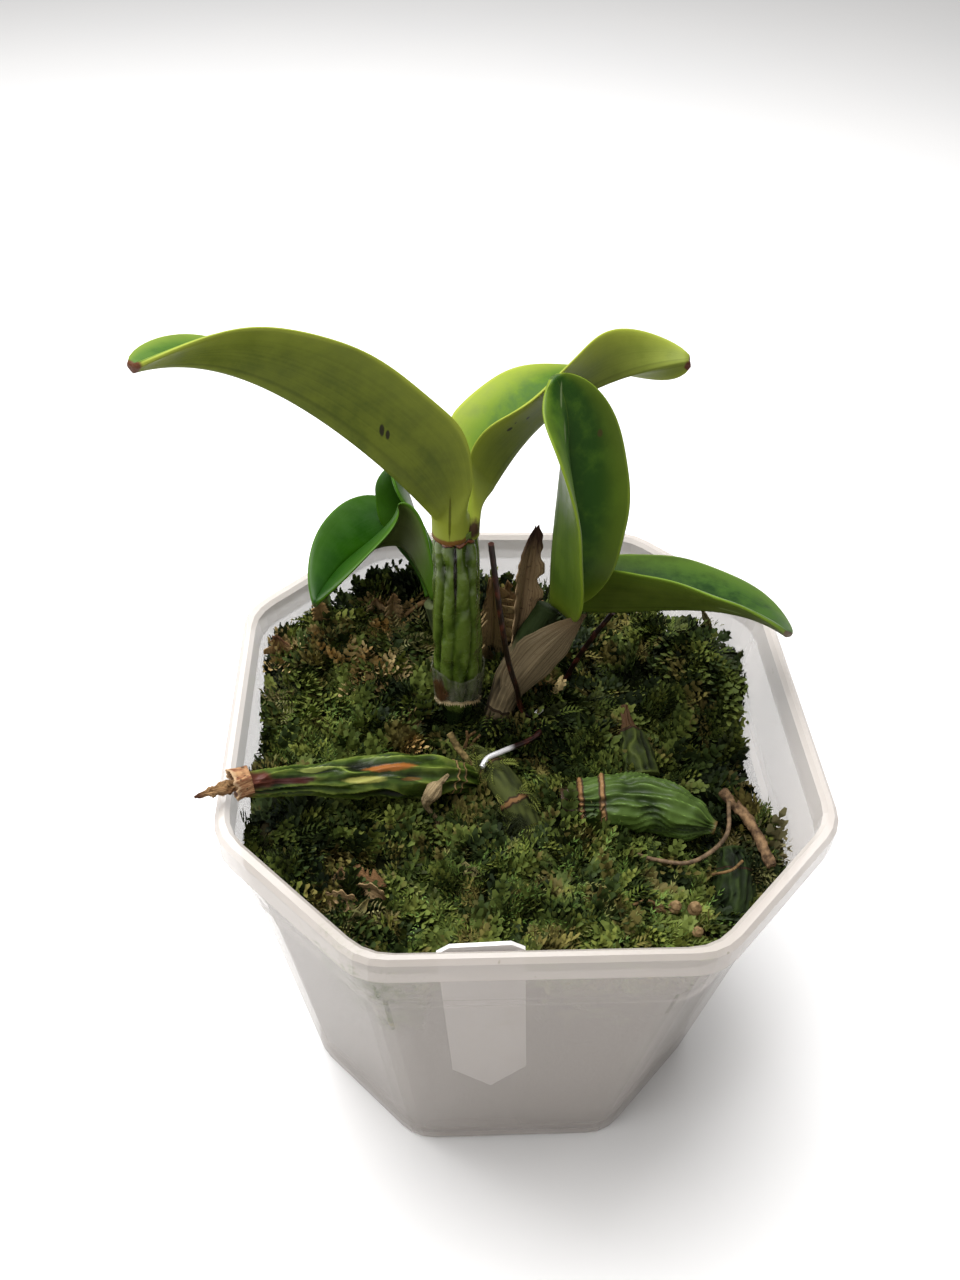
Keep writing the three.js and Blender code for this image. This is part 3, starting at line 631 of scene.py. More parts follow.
def leaf_finish(name, front, back, margin, glow=None, rough=0.4, mottled=1.0, tip=0.985, marks=(), rim=0.3):
    """front and back are pairs of a dark and a light green, and glow paints light shining through the leaf on
    the right margin's side.
    tip is where the brown end starts, rim how strong the margin's colour is, and marks are stains and painted
    highlights."""
    leaf = Recipe(name, IOR=1.45, Specular_IOR_Level=0.17, Coat_Weight=0.02, Coat_Roughness=0.25)
    along, across = leaf.attribute("along"), leaf.attribute("across")
    out = leaf.math("ABSOLUTE", across)
    veins = leaf.noise(leaf.stretch(leaf.join(across, along), (26, 1.1, 1)), 1.0, detail=3)
    mottle = leaf.noise(leaf.place(), 300.0, detail=5, roughness=0.65)
    broad = leaf.noise(leaf.place(), 55.0, detail=3)
    blotch = leaf.plus(leaf.times(mottle, 0.5 * mottled), leaf.times(broad, 1 - 0.5 * mottled))
    inner = leaf.minus(blotch, leaf.times(leaf.between(out, 0.8, 0.1), 0.07))
    upper = leaf.mix(leaf.between(inner, 0.37, 0.57), *front)
    # Painted light: glow is light shining through the right half of the upper face.
    if glow:
        upper = leaf.mix(leaf.times(leaf.between(across, 0.3, 0.98), 0.9), upper, glow)
    upper = leaf.mix(leaf.times(leaf.between(out, 0.03, 0.0), 0.22 * mottled), upper, margin)
    patchy = leaf.plus(leaf.times(veins, 0.22), leaf.times(blotch, 0.78))
    under = leaf.mix(leaf.between(patchy, 0.36, 0.64), *back)
    keel = leaf.between(leaf.math("ABSOLUTE", leaf.minus(out, 0.09)), 0.035, 0.0)
    under = leaf.mix(leaf.times(keel, 0.3), under, darker(back[0], 0.6))
    colour = leaf.mix(leaf.attribute("back"), upper, under)
    colour = leaf.mix(leaf.times(leaf.between(along, 0.26, 0.03), 0.85), colour, margin)
    edge = leaf.plus(out, leaf.swing(broad, 0.14))
    colour = leaf.mix(leaf.times(leaf.between(edge, 0.45, 1.0), rim), colour, margin)
    colour = leaf.mix(leaf.times(leaf.between(edge, 0.93, 0.99), 0.85), colour, margin)
    # The marks are stains and, on the two right leaves, painted highlights.
    for centre, size, mark_colour in marks:
        colour = leaf.mix(leaf.patch(centre, size), colour, mark_colour)
    colour = leaf.mix(leaf.between(along, tip, tip + 0.006), colour, DRIED_TIP)
    leaf.set(Base_Color=colour, Roughness=leaf.between(mottle, 0.3, 0.7, rough - 0.05, rough + 0.1))
    leaf.bump(leaf.plus(leaf.times(veins, 0.5), leaf.times(mottle, 0.6)), 0.12, 0.45)
    return leaf.material


print("leaf finish ready")

# %% The colours of the leaves
# marks: the middle and the half sizes of each mark, in mm, and its colour. Most are stains; the pale
# silvery lines on the two right leaves are painted highlights.
DARK_SPOT = (40, 38, 16)
LEAF_FINISHES = {
    "leaf_main_left": {
        "front": ((44, 78, 12), (66, 98, 22)), "back": ((74, 86, 20), (102, 112, 34)),
        "margin": (148, 158, 56), "rough": 0.48,
        "marks": [
            ((-22.6, 2.6, 136.1), (0.35, 1.0, 0.9), DARK_SPOT),
            ((-21.8, 2.9, 135.3), (0.3, 0.8, 0.7), DARK_SPOT),
            ((-11.4, 8.4, 112.6), (9, 9, 0.9), (112, 76, 30)),
            ((-12.6, 5.6, 118.0), (0.2, 1.5, 4.5), (88, 92, 22)),
        ],
    },
    "leaf_main_right": {
        "front": ((52, 86, 8), (82, 110, 14)), "back": ((96, 108, 36), (116, 126, 50)),
        "margin": (146, 156, 54), "rough": 0.6, "rim": 0.6, "tip": 1.0,
        "marks": [
            ((-3.0, 16.4, 127.4), (0.5, 0.8, 0.4), DARK_SPOT),
            ((-2.3, 17.0, 128.6), (0.3, 0.4, 0.4), DARK_SPOT),
            ((-0.1, 18.6, 128.2), (0.3, 0.6, 0.3), DARK_SPOT),
            ((1.2, 19.8, 129.4), (0.3, 0.3, 0.5), DARK_SPOT),
            ((26.8, 28.2, 132.4), (0.9, 1.6, 1.1), (84, 40, 24)),
            ((-8.9, 9.4, 113.8), (1.3, 2.6, 1.5), (62, 44, 26)),
        ],
    },
    "leaf_right_upright": {
        "front": ((32, 64, 10), (62, 94, 18)), "back": ((60, 84, 24), (80, 102, 34)),
        "margin": (112, 132, 34), "glow": (42, 62, 4), "rough": 0.42, "tip": 1.0,
        "marks": [
            ((11.5, 17.8, 126.0), (0.5, 0.5, 0.6), (58, 56, 20)),
            # painted highlights: two pale silvery lines
            ((4.6, 16.9, 133.4), (0.16, 1.6, 2.2), (96, 112, 72)),
            ((5.2, 13.2, 129.2), (0.14, 1.5, 2.2), (88, 104, 66)),
        ],
    },
    "leaf_right_low": {
        "front": ((20, 49, 8), (50, 80, 21)), "back": ((64, 80, 22), (84, 98, 32)),
        "margin": (104, 130, 36), "rough": 0.46, "tip": 0.99,
        # painted highlight: a pale silvery line near the tip
        "marks": [((35.5, 6.4, 98.2), (3.2, 0.9, 0.5), (120, 138, 86))],
    },
    "leaf_left_low": {
        "front": ((16, 50, 0), (26, 62, 0)), "back": ((74, 86, 44), (96, 106, 62)),
        "margin": (54, 90, 2), "rough": 0.36, "mottled": 0.4, "tip": 1.0,
    },
    "leaf_left_up": {
        "front": ((26, 60, 0), (38, 76, 2)), "back": ((34, 60, 10), (50, 78, 18)),
        "margin": (54, 92, 10), "mottled": 0.5, "tip": 1.0,
    },
}

print("leaf colours:", len(LEAF_FINISHES))

# %% Grow the leaves
LEAF_BUILD = {"middle": 1.7, "edge": 0.8, "wave": 0.12}
for leaf_name, leaf_values in LEAVES.items():
    leaf_shape = blade(leaf_values, **LEAF_BUILD)
    if leaf_name in NECKS:
        leaf_shape = with_neck(*leaf_shape, **NECKS[leaf_name])
    leaf_mesh = mesh_of(leaf_name + "_blade", *loft(*leaf_shape))
    leaf_skin = leaf_finish(leaf_name + "_skin", **LEAF_FINISHES[leaf_name])
    add_piece(leaf_name + "_blade", leaf_mesh, "leaf", leaf_skin, leaf_name)

# %% [markdown]
# ## The pot and its label
# The pot and the label keep their solids, which have the right shape. The pot is a milky clear plastic:
# each surface lets part of the light through, so that a wall, which has two of them, veils what is
# behind it. It is thicker and so more opaque at the rim and at the foot. Algae have left a green stain
# in the crease at the front left, just under the rim.


# %% The finish of the pot
def solid(node):
    """The object that shows a node of the frame."""
    return next(o for o in bpy.data.objects if o.type == "MESH" and o.name.split(".")[0] == node)


def refinish(node, material):
    """Gives a solid a better material and leaves its mesh as it is."""
    piece = solid(node)
    for place in piece.material_slots:
        place.link = "OBJECT"
        place.material = material
    print(node, "refinished")


RIM_LEVELS = (76.2, 77.2)
FOOT_LEVELS = (6, 1)


def pot_finish():
    pot = Recipe("pot_finish", IOR=1.45, Specular_IOR_Level=0.5, Roughness=0.2)
    dust = pot.noise(pot.place(), 420.0, detail=2)
    colour = pot.mix(pot.between(dust, 0.72, 0.8), (190, 182, 175), (158, 150, 136))
    crease = pot.patch((-27.5, -44.5, 66), (10, 8, 12), ragged=0.9, soft=0.5)
    fleck = pot.between(pot.noise(pot.place(), 420.0, detail=5), 0.42, 0.66)
    colour = pot.mix(pot.times(pot.times(crease, fleck), 0.6), colour, (104, 122, 70))
    rim, foot = (pot.between(pot.height(), low * MM, high * MM) for low, high in (RIM_LEVELS, FOOT_LEVELS))
    veil = pot.math("MAXIMUM", pot.times(rim, 0.25), pot.times(foot, 0.12))
    pot.set(Base_Color=colour, Alpha=pot.plus(veil, 0.46))
    return pot.material


def label_finish():
    label = Recipe("label_finish", Roughness=0.42, Specular_IOR_Level=0.4)
    soil = label.noise(label.place(), 130.0, detail=5)
    label.set(Base_Color=label.mix(label.between(soil, 0.5, 0.8), (232, 229, 228), (214, 206, 196)))
    return label.material


refinish("pot", pot_finish())
refinish("plant_label", label_finish())

# %% [markdown]
# ## Pseudobulbs and stems
# A pseudobulb stores water. As it dries, its skin folds into long valleys between rounded ridges, with
# small dents on them, and it stays glossy. Each one is a loft along a smooth curve whose radius is the
# plain one less the valleys and the dents. The same depth is kept as a value, so the finish can paint
# shade into the valleys and light onto the ridges.

# %% The measures of the stalks
# path: the points of the middle line, in mm. radii: spread evenly from foot to tip. ridges: how many go
# round. valley and dents: how deep they are. dent_run: how close the dents lie along it. wander: how far
# the ridges weave. scars: (share along, height, half width) of raised rings. mesh: how many points go
# round and along, fewer on the stalks that hide in the moss.
STALK_MESH = (112, 170)
STALKS = {
    "rhizome": {
        "path": [(-9.4, 6, 61), (-7.6, 1, 66.6), (-5.2, -3.8, 70.2), (-1.4, -10, 69.6), (3.6, -19, 62.4)],
        "radii": (1.9, 2.4, 2.7, 2.8, 2.6), "ridges": 7, "valley": 0.2, "dents": 0.45, "dent_run": 7,
        "scars": [(0.45, 0.2, 0.012), (0.66, 0.25, 0.014)], "mesh": (56, 90),
    },
    "pseudobulb_main": {
        "path": [(-10.2, 10.6, 66.5), (-10.5, 10.3, 82), (-11.1, 9.9, 97), (-11.5, 9.8, 113.9)],
        "radii": (2.6, 2.9, 3.6, 4.1, 4.35, 4.35, 4.25, 4.1, 3.95, 3.9, 3.8, 3.1),
        "ridges": 9, "valley": 1.0, "dents": 0.7, "dent_run": 8, "scars": [(0.962, 0.18, 0.007)],
    },
    "pseudobulb_left_lying": {
        "path": [(-6.2, -5.2, 68), (-15, -7.6, 72.8), (-29.5, -11.5, 77), (-46.2, -18.6, 84.4)],
        "radii": (1.9, 2.9, 4.0, 4.1, 3.7, 3.2, 2.7, 2.4, 2.2), "ridges": 9, "valley": 1.0, "dents": 0.7,
        "dent_run": 6, "sharp": 0.75, "wander": 1.3, "scars": [(0.155, 0.25, 0.005), (0.12, 0.2, 0.004)],
    },
    "pseudobulb_right_lying": {
        "path": [(7.2, -10.6, 68), (14, -10.8, 68.7), (22, -11.5, 69), (33.4, -16.5, 68.4)],
        "radii": (3.0, 4.5, 5.2, 5.4, 4.9, 4.0, 1.2), "ridges": 19, "valley": 0.95, "dents": 0.75,
        "dent_run": 6, "sharp": 0.8, "wander": 2.2, "scars": [(0.125, 0.4, 0.014), (0.255, 0.4, 0.014)],
    },
    "pseudobulb_front_buried": {
        "path": [(36.4, -18.2, 64.4), (36.4, -22, 63.2), (35.6, -26, 61.6), (34.6, -30.5, 59)],
        "radii": (2.4, 3.6, 3.8, 3.4, 2.2), "ridges": 13, "valley": 0.5, "dents": 0.6, "dent_run": 4,
        "sharp": 0.8, "wander": 1.2, "mesh": (80, 80),
    },
    "pseudobulb_back_small": {
        "path": [(22.4, -3.5, 66.5), (21.8, 1.5, 68.6), (21.2, 6, 69.6), (20.9, 10.5, 70.6)],
        "radii": (3.6, 3.7, 2.9, 1.2, 0.8), "ridges": 9, "valley": 0.5, "dents": 0.5, "dent_run": 4,
        "sharp": 0.8, "wander": 1.2, "mesh": (80, 80),
    },
    "stem_right_growth": {
        "path": [(-3.8, 8, 63.5), (-3, 9.2, 70), (-0.8, 10.3, 78), (2, 11.6, 86), (5.3, 13.8, 92.6)],
        "radii": (2, 2.7, 3.1, 2.8, 2.2), "ridges": 20, "valley": 0.2, "dents": 0.4, "dent_run": 5,
        "sharp": 0.8, "wander": 0.5, "scars": [(0.3, 0.3, 0.008)], "mesh": (80, 100),
    },
    "stem_left_growth": {
        "path": [(-11.6, 27, 66), (-12.8, 27.6, 74), (-14.6, 28, 81.4)],
        "radii": (2, 2, 1.9), "ridges": 8, "valley": 0.08, "dents": 0.15, "dent_run": 3, "mesh": (48, 50),
    },
}
print("stalks:", ", ".join(STALKS))


# %% The shape of a stalk
THINNEST = 0.25  # mm


def knots(c, s, size, level, seed=0.0):
    """Noise round a stalk, from the cosine and sine of the angle. A larger size gives smaller knots."""
    return noise.noise(Vector((size * c + seed, size * s, level)))


def wrinkled(spec, sides, steps, seed=0.0):
    """The rings of a wrinkled stalk, with the share along, the angle and the depth of each point.

    A stalk has round ridges between sharp valleys or, where sharp is given, sharp crests between
    round valleys."""
    centres, across, beside = stations(spec["path"], steps)
    t = np.linspace(0, 1, steps)[:, None]
    angle = np.linspace(0, 2 * math.pi, sides, endpoint=False)[None, :]
    weave, dents, edge, deep = (np.empty((steps, sides)) for _ in range(4))
    for i in range(steps):
        run = i / steps
        for j in range(sides):
            c, s = math.cos(angle[0, j]), math.sin(angle[0, j])
            spot = Vector((1.6 * c + seed, 1.6 * s, spec["dent_run"] * run))
            dents[i, j] = noise.noise(spot) + 0.5 * noise.noise(2.3 * spot)
            weave[i, j] = knots(c, s, 0.9, 4.5 * run + 9, seed)
            edge[i, j] = knots(c, s, 3, 2, seed) + 0.4 * knots(c, s, 9, 5)
            deep[i, j] = knots(c, s, 1.3, 3.2 * run + 4, seed)
    wander = spec.get("wander", 0.45)
    phase = spec["ridges"] * (angle + 0.14 * np.sin(4.3 * t + seed)) / 2 + 2.2 * wander * weave
    strength = np.clip(0.68 + 0.95 * deep, 0.25, 1.15)
    wave = np.abs(np.sin(phase))
    ridge = 1 - wave ** spec["sharp"] if "sharp" in spec else wave**0.45
    fade = ease(np.minimum(t, 1 - t), 0.0, 0.06)
    depth = (spec["valley"] * strength * (ridge - 1) + spec["dents"] * np.minimum(dents, 0.12)) * fade
    radius = spread(spec["radii"], t) + depth
    for place, height, half in spec.get("scars", ()):
        radius = radius + height * np.exp(-(((t - place + 0.012 * edge) / half) ** 2))
    radius = np.maximum(radius, THINNEST)
    out = across[:, None] * np.cos(angle)[..., None] + beside[:, None] * np.sin(angle)[..., None]
    values = {
        "along": np.broadcast_to(t, radius.shape),
        "angle": np.broadcast_to(angle, radius.shape),
        "depth": depth / (spec["valley"] + spec["dents"]),
        "crest": np.broadcast_to(ridge * fade, radius.shape),
        "edge": edge,
    }
    return centres[:, None] + out * radius[..., None], values


def on_stalk(rings, values, spot, run, wide):
    """A place in mm and a size along and around, as shares and angles of a stalk."""
    near = np.unravel_index(np.argmin(((rings - np.array(spot)) ** 2).sum(2)), rings.shape[:2])
    length = np.linalg.norm(np.diff(rings.mean(1), axis=0), axis=1).sum()
    radius = np.linalg.norm(rings[near[0]] - rings[near[0]].mean(0), axis=1).mean()
    return (float(values["along"][near]), float(values["angle"][near])), (run / length, wide / radius)


test_rings, _ = wrinkled(STALKS["rhizome"], sides=8, steps=10)
print("a coarse rhizome has", test_rings.shape[0], "rings of", test_rings.shape[1], "points")

# %% [markdown]
# The skin is wet looking: a low roughness under a thin clear coat. Its colour follows the depth: dark in
# the valleys, as painted shade, and pale along the crests, as painted light, with a painted highlight
# line on the crests of some. The ring scars of fallen sheaths, tan with a dark edge on each side, and
# dried patches are painted on by the share along and the angle around. A scar is darker in the valleys,
# as painted shade, and the dark foot of the upright pseudobulb and the dark line down its crease are
# painted shadow.


# %% The finish of a pseudobulb
def bulb_finish(name, valley, skin, ridge, crest=0.0, bands=(), spots=(), rough=0.2, ends=(), wet=0.2):
    """bands are (place, half width, colour), ends (from, to, colour) and spots (place, size, colour)."""
    bulb = Recipe(name, IOR=1.45, Specular_IOR_Level=0.2 + wet, Coat_Weight=wet, Coat_Roughness=0.12)
    along, angle = bulb.attribute("along"), bulb.attribute("angle")
    mottle = bulb.noise(bulb.place(), 420.0, detail=5)
    fibre = bulb.noise(bulb.join(bulb.times(angle, 9), bulb.times(along, 5)), 1.0)
    # Painted shade and light: the colour runs with the depth, from valley, as if in shade, to ridge, as if
    # lit.
    shade = bulb.plus(bulb.attribute("depth"), bulb.swing(mottle, 0.6))
    colour = bulb.ramp(bulb.between(shade, -0.7, 0.15), (0.0, valley), (1.0, ridge), (0.6, skin))
    # Painted highlight: a bright line along the crests, where light would catch them.
    line = bulb.times(bulb.between(bulb.attribute("crest"), 0.72, 0.97), crest)
    colour = bulb.mix(line, colour, tuple(min(1.5 * c + 20, 255) for c in ridge))
    colour = bulb.mix(bulb.times(bulb.between(fibre, 0.55, 0.75), 0.2), colour, ridge)
    wobble = bulb.plus(along, bulb.times(bulb.attribute("edge"), 0.012))
    # Most ends are the stalk's own colour, withered, mossy or green; the dark foot of the upright pseudobulb
    # is painted shadow.
    for start, full, mark_colour in ends:
        blotched = bulb.plus(wobble, bulb.swing(mottle, 0.12))
        colour = bulb.mix(bulb.between(blotched, start, full), colour, mark_colour)
    # Painted shade: a scar band is darker where it crosses a valley.
    unshaded_share = bulb.between(shade, -0.75, -0.2)
    for place, half, mark_colour in bands:
        off = bulb.plus(bulb.math("ABSOLUTE", bulb.minus(wobble, place)), bulb.swing(mottle, half))
        colour = bulb.mix(bulb.between(off, half * 2.0, half * 1.3), colour, darker(mark_colour, 0.4))
        pale = bulb.mix(unshaded_share, darker(mark_colour, 0.5), mark_colour)
        colour = bulb.mix(bulb.between(off, half * 1.2, half * 0.5), colour, pale)
    for place, size, mark_colour in spots:
        colour = bulb.mix(bulb.spot(along, angle, place, size), colour, mark_colour)
    bulb.set(Base_Color=colour, Roughness=bulb.between(mottle, 0.3, 0.75, rough, rough + 0.2))
    bulb.bump(bulb.plus(fibre, bulb.times(mottle, 0.6)), 0.14, 0.5)
    return bulb.material


print("bulb finish ready")

# %% The colours of the stalks
# spots here are (place in mm, length along, width around, colour). valley is the colour with painted
# shade, for the valleys, ridge the colour with painted light, for the crests, and skin the one between.
# crest is how strong the painted highlight along the crests is.
BULB_FINISHES = {
    "rhizome": {
        "valley": (30, 34, 14), "skin": (46, 52, 22), "ridge": (68, 74, 34), "rough": 0.7, "wet": 0.0,
        "bands": [(0.45, 0.008, (90, 70, 42)), (0.66, 0.01, (120, 88, 56))],
    },
    "pseudobulb_main": {
        "valley": (18, 30, 6), "skin": (62, 82, 22), "ridge": (92, 112, 44), "rough": 0.14, "wet": 0.2,
        "bands": [(0.962, 0.007, (112, 62, 34))],
        # painted shadow: the foot, below the sleeve and down in the moss, is dark
        "ends": [(0.2, 0.12, (26, 38, 16))],
        # painted shade: a dark line down the deep crease
        "spots": [((-11.5, 6.6, 106.5), 8.0, 0.28, (20, 14, 8))],
    },
    "pseudobulb_left_lying": {
        "valley": (12, 18, 4), "skin": (52, 70, 19), "ridge": (98, 112, 44),
        "rough": 0.3, "crest": 0.3, "wet": 0.08,
        "bands": [(0.155, 0.004, (160, 134, 88)), (0.12, 0.003, (130, 108, 70))],
        "ends": [(0.94, 1.0, (104, 62, 36))],
        "spots": [
            ((-22.6, -9.7, 79.2), 4.2, 0.8, (142, 86, 36)),
            ((-26.6, -12.9, 78.6), 3.6, 0.6, (148, 146, 74)),
            ((-19.0, -11.4, 76.4), 1.8, 0.3, (90, 66, 28)),
            ((-38.3, -16.7, 83.6), 5.0, 0.55, (52, 20, 16)),
            ((-43.0, -18.2, 84.6), 2.6, 1.3, (84, 42, 30)),
            ((-33.0, -12.2, 82.2), 4.4, 0.35, (134, 144, 74)),
        ],
    },
    "pseudobulb_right_lying": {
        "valley": (34, 50, 14), "skin": (58, 78, 26), "ridge": (72, 94, 38),
        "rough": 0.44, "crest": 0.55, "wet": 0.06,
        "bands": [(0.125, 0.013, (136, 100, 64)), (0.255, 0.013, (142, 108, 70))],
        "ends": [(0.11, 0.06, (58, 44, 28)), (0.95, 1.0, (84, 66, 34))],
    },
    "pseudobulb_front_buried": {
        "valley": (12, 18, 5), "skin": (26, 38, 12), "ridge": (42, 56, 20), "rough": 0.6, "wet": 0.0,
        "bands": [(0.3, 0.01, (48, 34, 18))],
    },
    "pseudobulb_back_small": {
        "valley": (24, 30, 10), "skin": (54, 64, 24), "ridge": (78, 88, 36), "rough": 0.55, "wet": 0.0,
        "ends": [(0.6, 0.68, (84, 60, 38))],
        "bands": [(0.62, 0.016, (64, 42, 28))],
    },
    "stem_right_growth": {
        "valley": (34, 28, 18), "skin": (80, 70, 52), "ridge": (120, 106, 80), "rough": 0.7, "crest": 0.3,
        "wet": 0.0, "ends": [(0.66, 0.78, (34, 46, 16))],
        "bands": [(0.3, 0.006, (58, 44, 30))],
    },
    "stem_left_growth": {
        "valley": (48, 56, 30), "skin": (66, 76, 44), "ridge": (84, 92, 58), "rough": 0.5, "wet": 0.05,
    },
}

print("stalk colours:", len(BULB_FINISHES))

# %% Grow the pseudobulbs and stems
for place, (stalk_name, stalk_values) in enumerate(STALKS.items()):
    sides, steps = stalk_values.get("mesh", STALK_MESH)
    stalk_rings, stalk_shares = wrinkled(stalk_values, sides, steps, seed=1.3 * place)
    look = dict(BULB_FINISHES[stalk_name])
    look["spots"] = [
        (*on_stalk(stalk_rings, stalk_shares, spot, run, wide), mark_colour)
        for spot, run, wide, mark_colour in look.get("spots", ())
    ]
    stalk_mesh = mesh_of(stalk_name + "_skin", *loft(stalk_rings, stalk_shares))
    stalk_slot = "pseudobulb" if stalk_name.startswith("pseudobulb") else "stem"
    stalk_finish = bulb_finish(stalk_name + "_finish", **look)
    add_piece(stalk_name + "_skin", stalk_mesh, stalk_slot, stalk_finish, stalk_name)

# %% [markdown]
# ## The moss
# The moss fills the pot. Its shoots are a few millimetres long, with leaves like small scales, and lie
# over each other in swirls, so they can't be cut into a solid. The solid gives the bed. Here the bed is
# lofted again, finer, a little lower and clear of the pot's wall and of the label. Geometry Nodes strew
# thousands of shoots over it: a shoot is a mesh of a few dozen faces, and the nodes choose places, turn
# each shoot the way the swirl runs there, vary its size and give it a tone that the finish reads.

# %% The measures of the moss
POT = {
    "foot_half": 38.7, "foot_cut": 20.1, "lip_height": 80, "lip_half": 47.6, "lip_cut": 22.4,
    "step_height": 63.2, "step_out": 0.7, "step_rise": 1.2, "wall": 1,
}
MOSS_LEVEL = 66.5
# Mounds, and hollows where the height is below 0: x, y, height, size.
MOUNDS = [
    (-38, 34, 6.5, 14), (-46, 15, 3.5, 7), (-44, -18, 6.5, 13), (-14, 42, 4.5, 16), (3, 14, 5, 9),
    (40, 29, 6.5, 8), (44, 2, -6, 11), (40, -24, -7, 12), (42, -16, 6.5, 5), (-5, -4, -1.5, 7),
    (-11, 4, -2.5, 4),
]
LUMP = 1.2
PULLED_IN = 2.5
BED_DROP = 1.0
FINE_LUMP = 0.7
EDGE_DROP = (2.2, 0.06)  # how far the bed's edge falls, and over which share of the way in
SIDE_LEVELS = (2.2, 12, 25, 38, 48, 55, 58)
SHOOT_INSET = 1.6  # how far inside the pot's outer face the shoots stay
BED_INSET = 1.8
LOWEST = 2
LABEL_SIDES = (-17, 2)
LABEL_ROOM = 2.9  # the same behind the label


print("the moss lies", MOSS_LEVEL, "mm up and has", len(MOUNDS), "mounds and hollows")


# %% The level of the moss and the wall round it
def moss_height(x, y):
    """The level of the moss with its mounds and lumps, as the solid has it."""
    z = np.full(np.shape(x), float(MOSS_LEVEL))
    for mx, my, height, size in MOUNDS:
        z = z + height * np.exp(-((x - mx) ** 2 + (y - my) ** 2) / (2 * size * size))
    lumps = np.sin(0.55 * x + 1.3 * np.sin(0.31 * y)) * np.sin(0.6 * y + 1.1 * np.sin(0.37 * x))
    return z + LUMP * (lumps + 0.5 * np.sin(1.3 * x + 2) * np.sin(1.45 * y + 1))


def pulled_in(x, y):
    """How far the moss has shrunk away from the wall, towards the front right."""
    towards = (x * 0.8 - y * 0.6) / np.maximum(np.hypot(x, y), 1e-6)
    return PULLED_IN * ease(towards, 0.5, 0.95)


def wall_sizes(z, inset):
    """Half the width of the pot at a height and what the corners cut off, that far inside its wall."""
    share = z / POT["lip_height"]
    half = POT["foot_half"] + (POT["lip_half"] + POT["wall"] - POT["step_out"] - POT["foot_half"]) * share
    half = half + POT["step_out"] * np.clip((z - POT["step_height"]) / POT["step_rise"], 0, 1)
    cut = POT["foot_cut"] + (POT["lip_cut"] - POT["foot_cut"]) * share
    return half - inset, cut - (2 - math.sqrt(2)) * inset


def wall_reach(angle, z, inset):
    """How far the pot's inside reaches from the middle in a direction."""
    half, cut = wall_sizes(z, inset)
    c, s = np.abs(np.cos(angle)), np.abs(np.sin(angle))
    return np.minimum(half / np.maximum(c, s), (2 * half - cut) / (c + s))


def inside_wall(points, inset):
    """Presses points that lie past the pot's wall back against its inside, and behind the label."""
    half, cut = wall_sizes(np.clip(points[..., 2], LOWEST, POT["lip_height"]), inset)
    over = np.abs(points[..., 0]) + np.abs(points[..., 1]) - (2 * half - cut)
    for axis in (0, 1):
        points[..., axis] -= np.sign(points[..., axis]) * np.clip(over, 0, None) / 2
        points[..., axis] = np.clip(points[..., axis], -half, half)
    room = half + inset - LABEL_ROOM
    near = (points[..., 0] > LABEL_SIDES[0]) & (points[..., 0] < LABEL_SIDES[1])
    points[..., 1] = np.where(near, np.maximum(points[..., 1], -room), points[..., 1])
    return points


print("the pot's inside reaches", round(float(wall_reach(0, MOSS_LEVEL, SHOOT_INSET)), 1), "mm to the side")


# %% The bed of moss
def bed_rings(around=220, over=80):
    """Rings up the side of the bed and then over its top, each smaller than the one before."""
    angle = np.linspace(0, 2 * math.pi, around, endpoint=False)
    c, s = np.cos(angle), np.sin(angle)
    rings = []
    for z in SIDE_LEVELS:
        reach = wall_reach(angle, z, SHOOT_INSET) - pulled_in(c, s) * ease(z, 20, 55)
        rings.append(np.stack([reach * c, reach * s, np.full(around, float(z))], 1))
    edge = wall_reach(angle, MOSS_LEVEL, SHOOT_INSET) - pulled_in(c, s)
    for share in 1 - np.arange(over) / over:
        x, y = share * edge * c, share * edge * s
        fine = np.array([noise.noise(Vector((0.5 * a, 0.5 * b, 3))) for a, b in zip(x, y)])
        fall = EDGE_DROP[0] * (1 - ease(1 - share, 0, EDGE_DROP[1]))
        rings.append(np.stack([x, y, moss_height(x, y) - BED_DROP + FINE_LUMP * fine - fall], 1))
    return inside_wall(np.array(rings), BED_INSET)


def bed_finish():
    bed = Recipe("moss_bed_finish", Roughness=0.95, Specular_IOR_Level=0.1)
    fine = bed.noise(bed.place(), 700.0, detail=6, roughness=0.7)
    broad = bed.noise(bed.place(), 70.0, detail=3)
    dark = bed.ramp(fine, (0.35, (10, 13, 6)), (0.7, (48, 52, 26)))
    bed.set(Base_Color=bed.mix(bed.between(broad, 0.45, 0.7), dark, (44, 36, 20)))
    bed.bump(fine, 0.6)
    return bed.material


bed_points, bed_faces, _ = loft(bed_rings(), {})
add_piece("moss_bed", mesh_of("moss_bed", bed_points, bed_faces), "moss", bed_finish(), "moss")

# %% [markdown]
# ### One shoot
# A shoot is a row of leaves to the left, to the right and on top of a stalk that they hide, so the stalk
# itself isn't made. Each leaf is a few triangles, lifted between its root and its tip. A few kinds of
# shoot are enough: a braided one with broad blunt scales, a feather with long thin leaves and a strand
# with leaves like hairs.


# %% The kinds of shoot
# The points of a leaf, as shares of its length, of its half width and of its lift, and its faces.
SCALE = {
    "points": [(0, 0, 0), (0.42, -1, 1), (0.92, -0.42, 1), (0.92, 0.42, 1), (0.42, 1, 1)],
    "faces": [(0, 1, 4), (1, 2, 3, 4)],
}
HAIR = {"points": [(0, 0, 0), (0.5, -1, 1), (1, 0, 0), (0.5, 1, 1)], "faces": [(0, 1, 2), (0, 2, 3)]}
LIFT = 0.12  # of the leaf's length
BOW, SAG = 0.6, 0.3  # mm that a shoot stands up in its middle and hangs down at its tip
LAST_LEAF = (0.97, 0.8)  # its place along the shoot and its size
TO_THE_SIDES = (-90, 90)
ALL_ROUND = (-90, 90, 0)


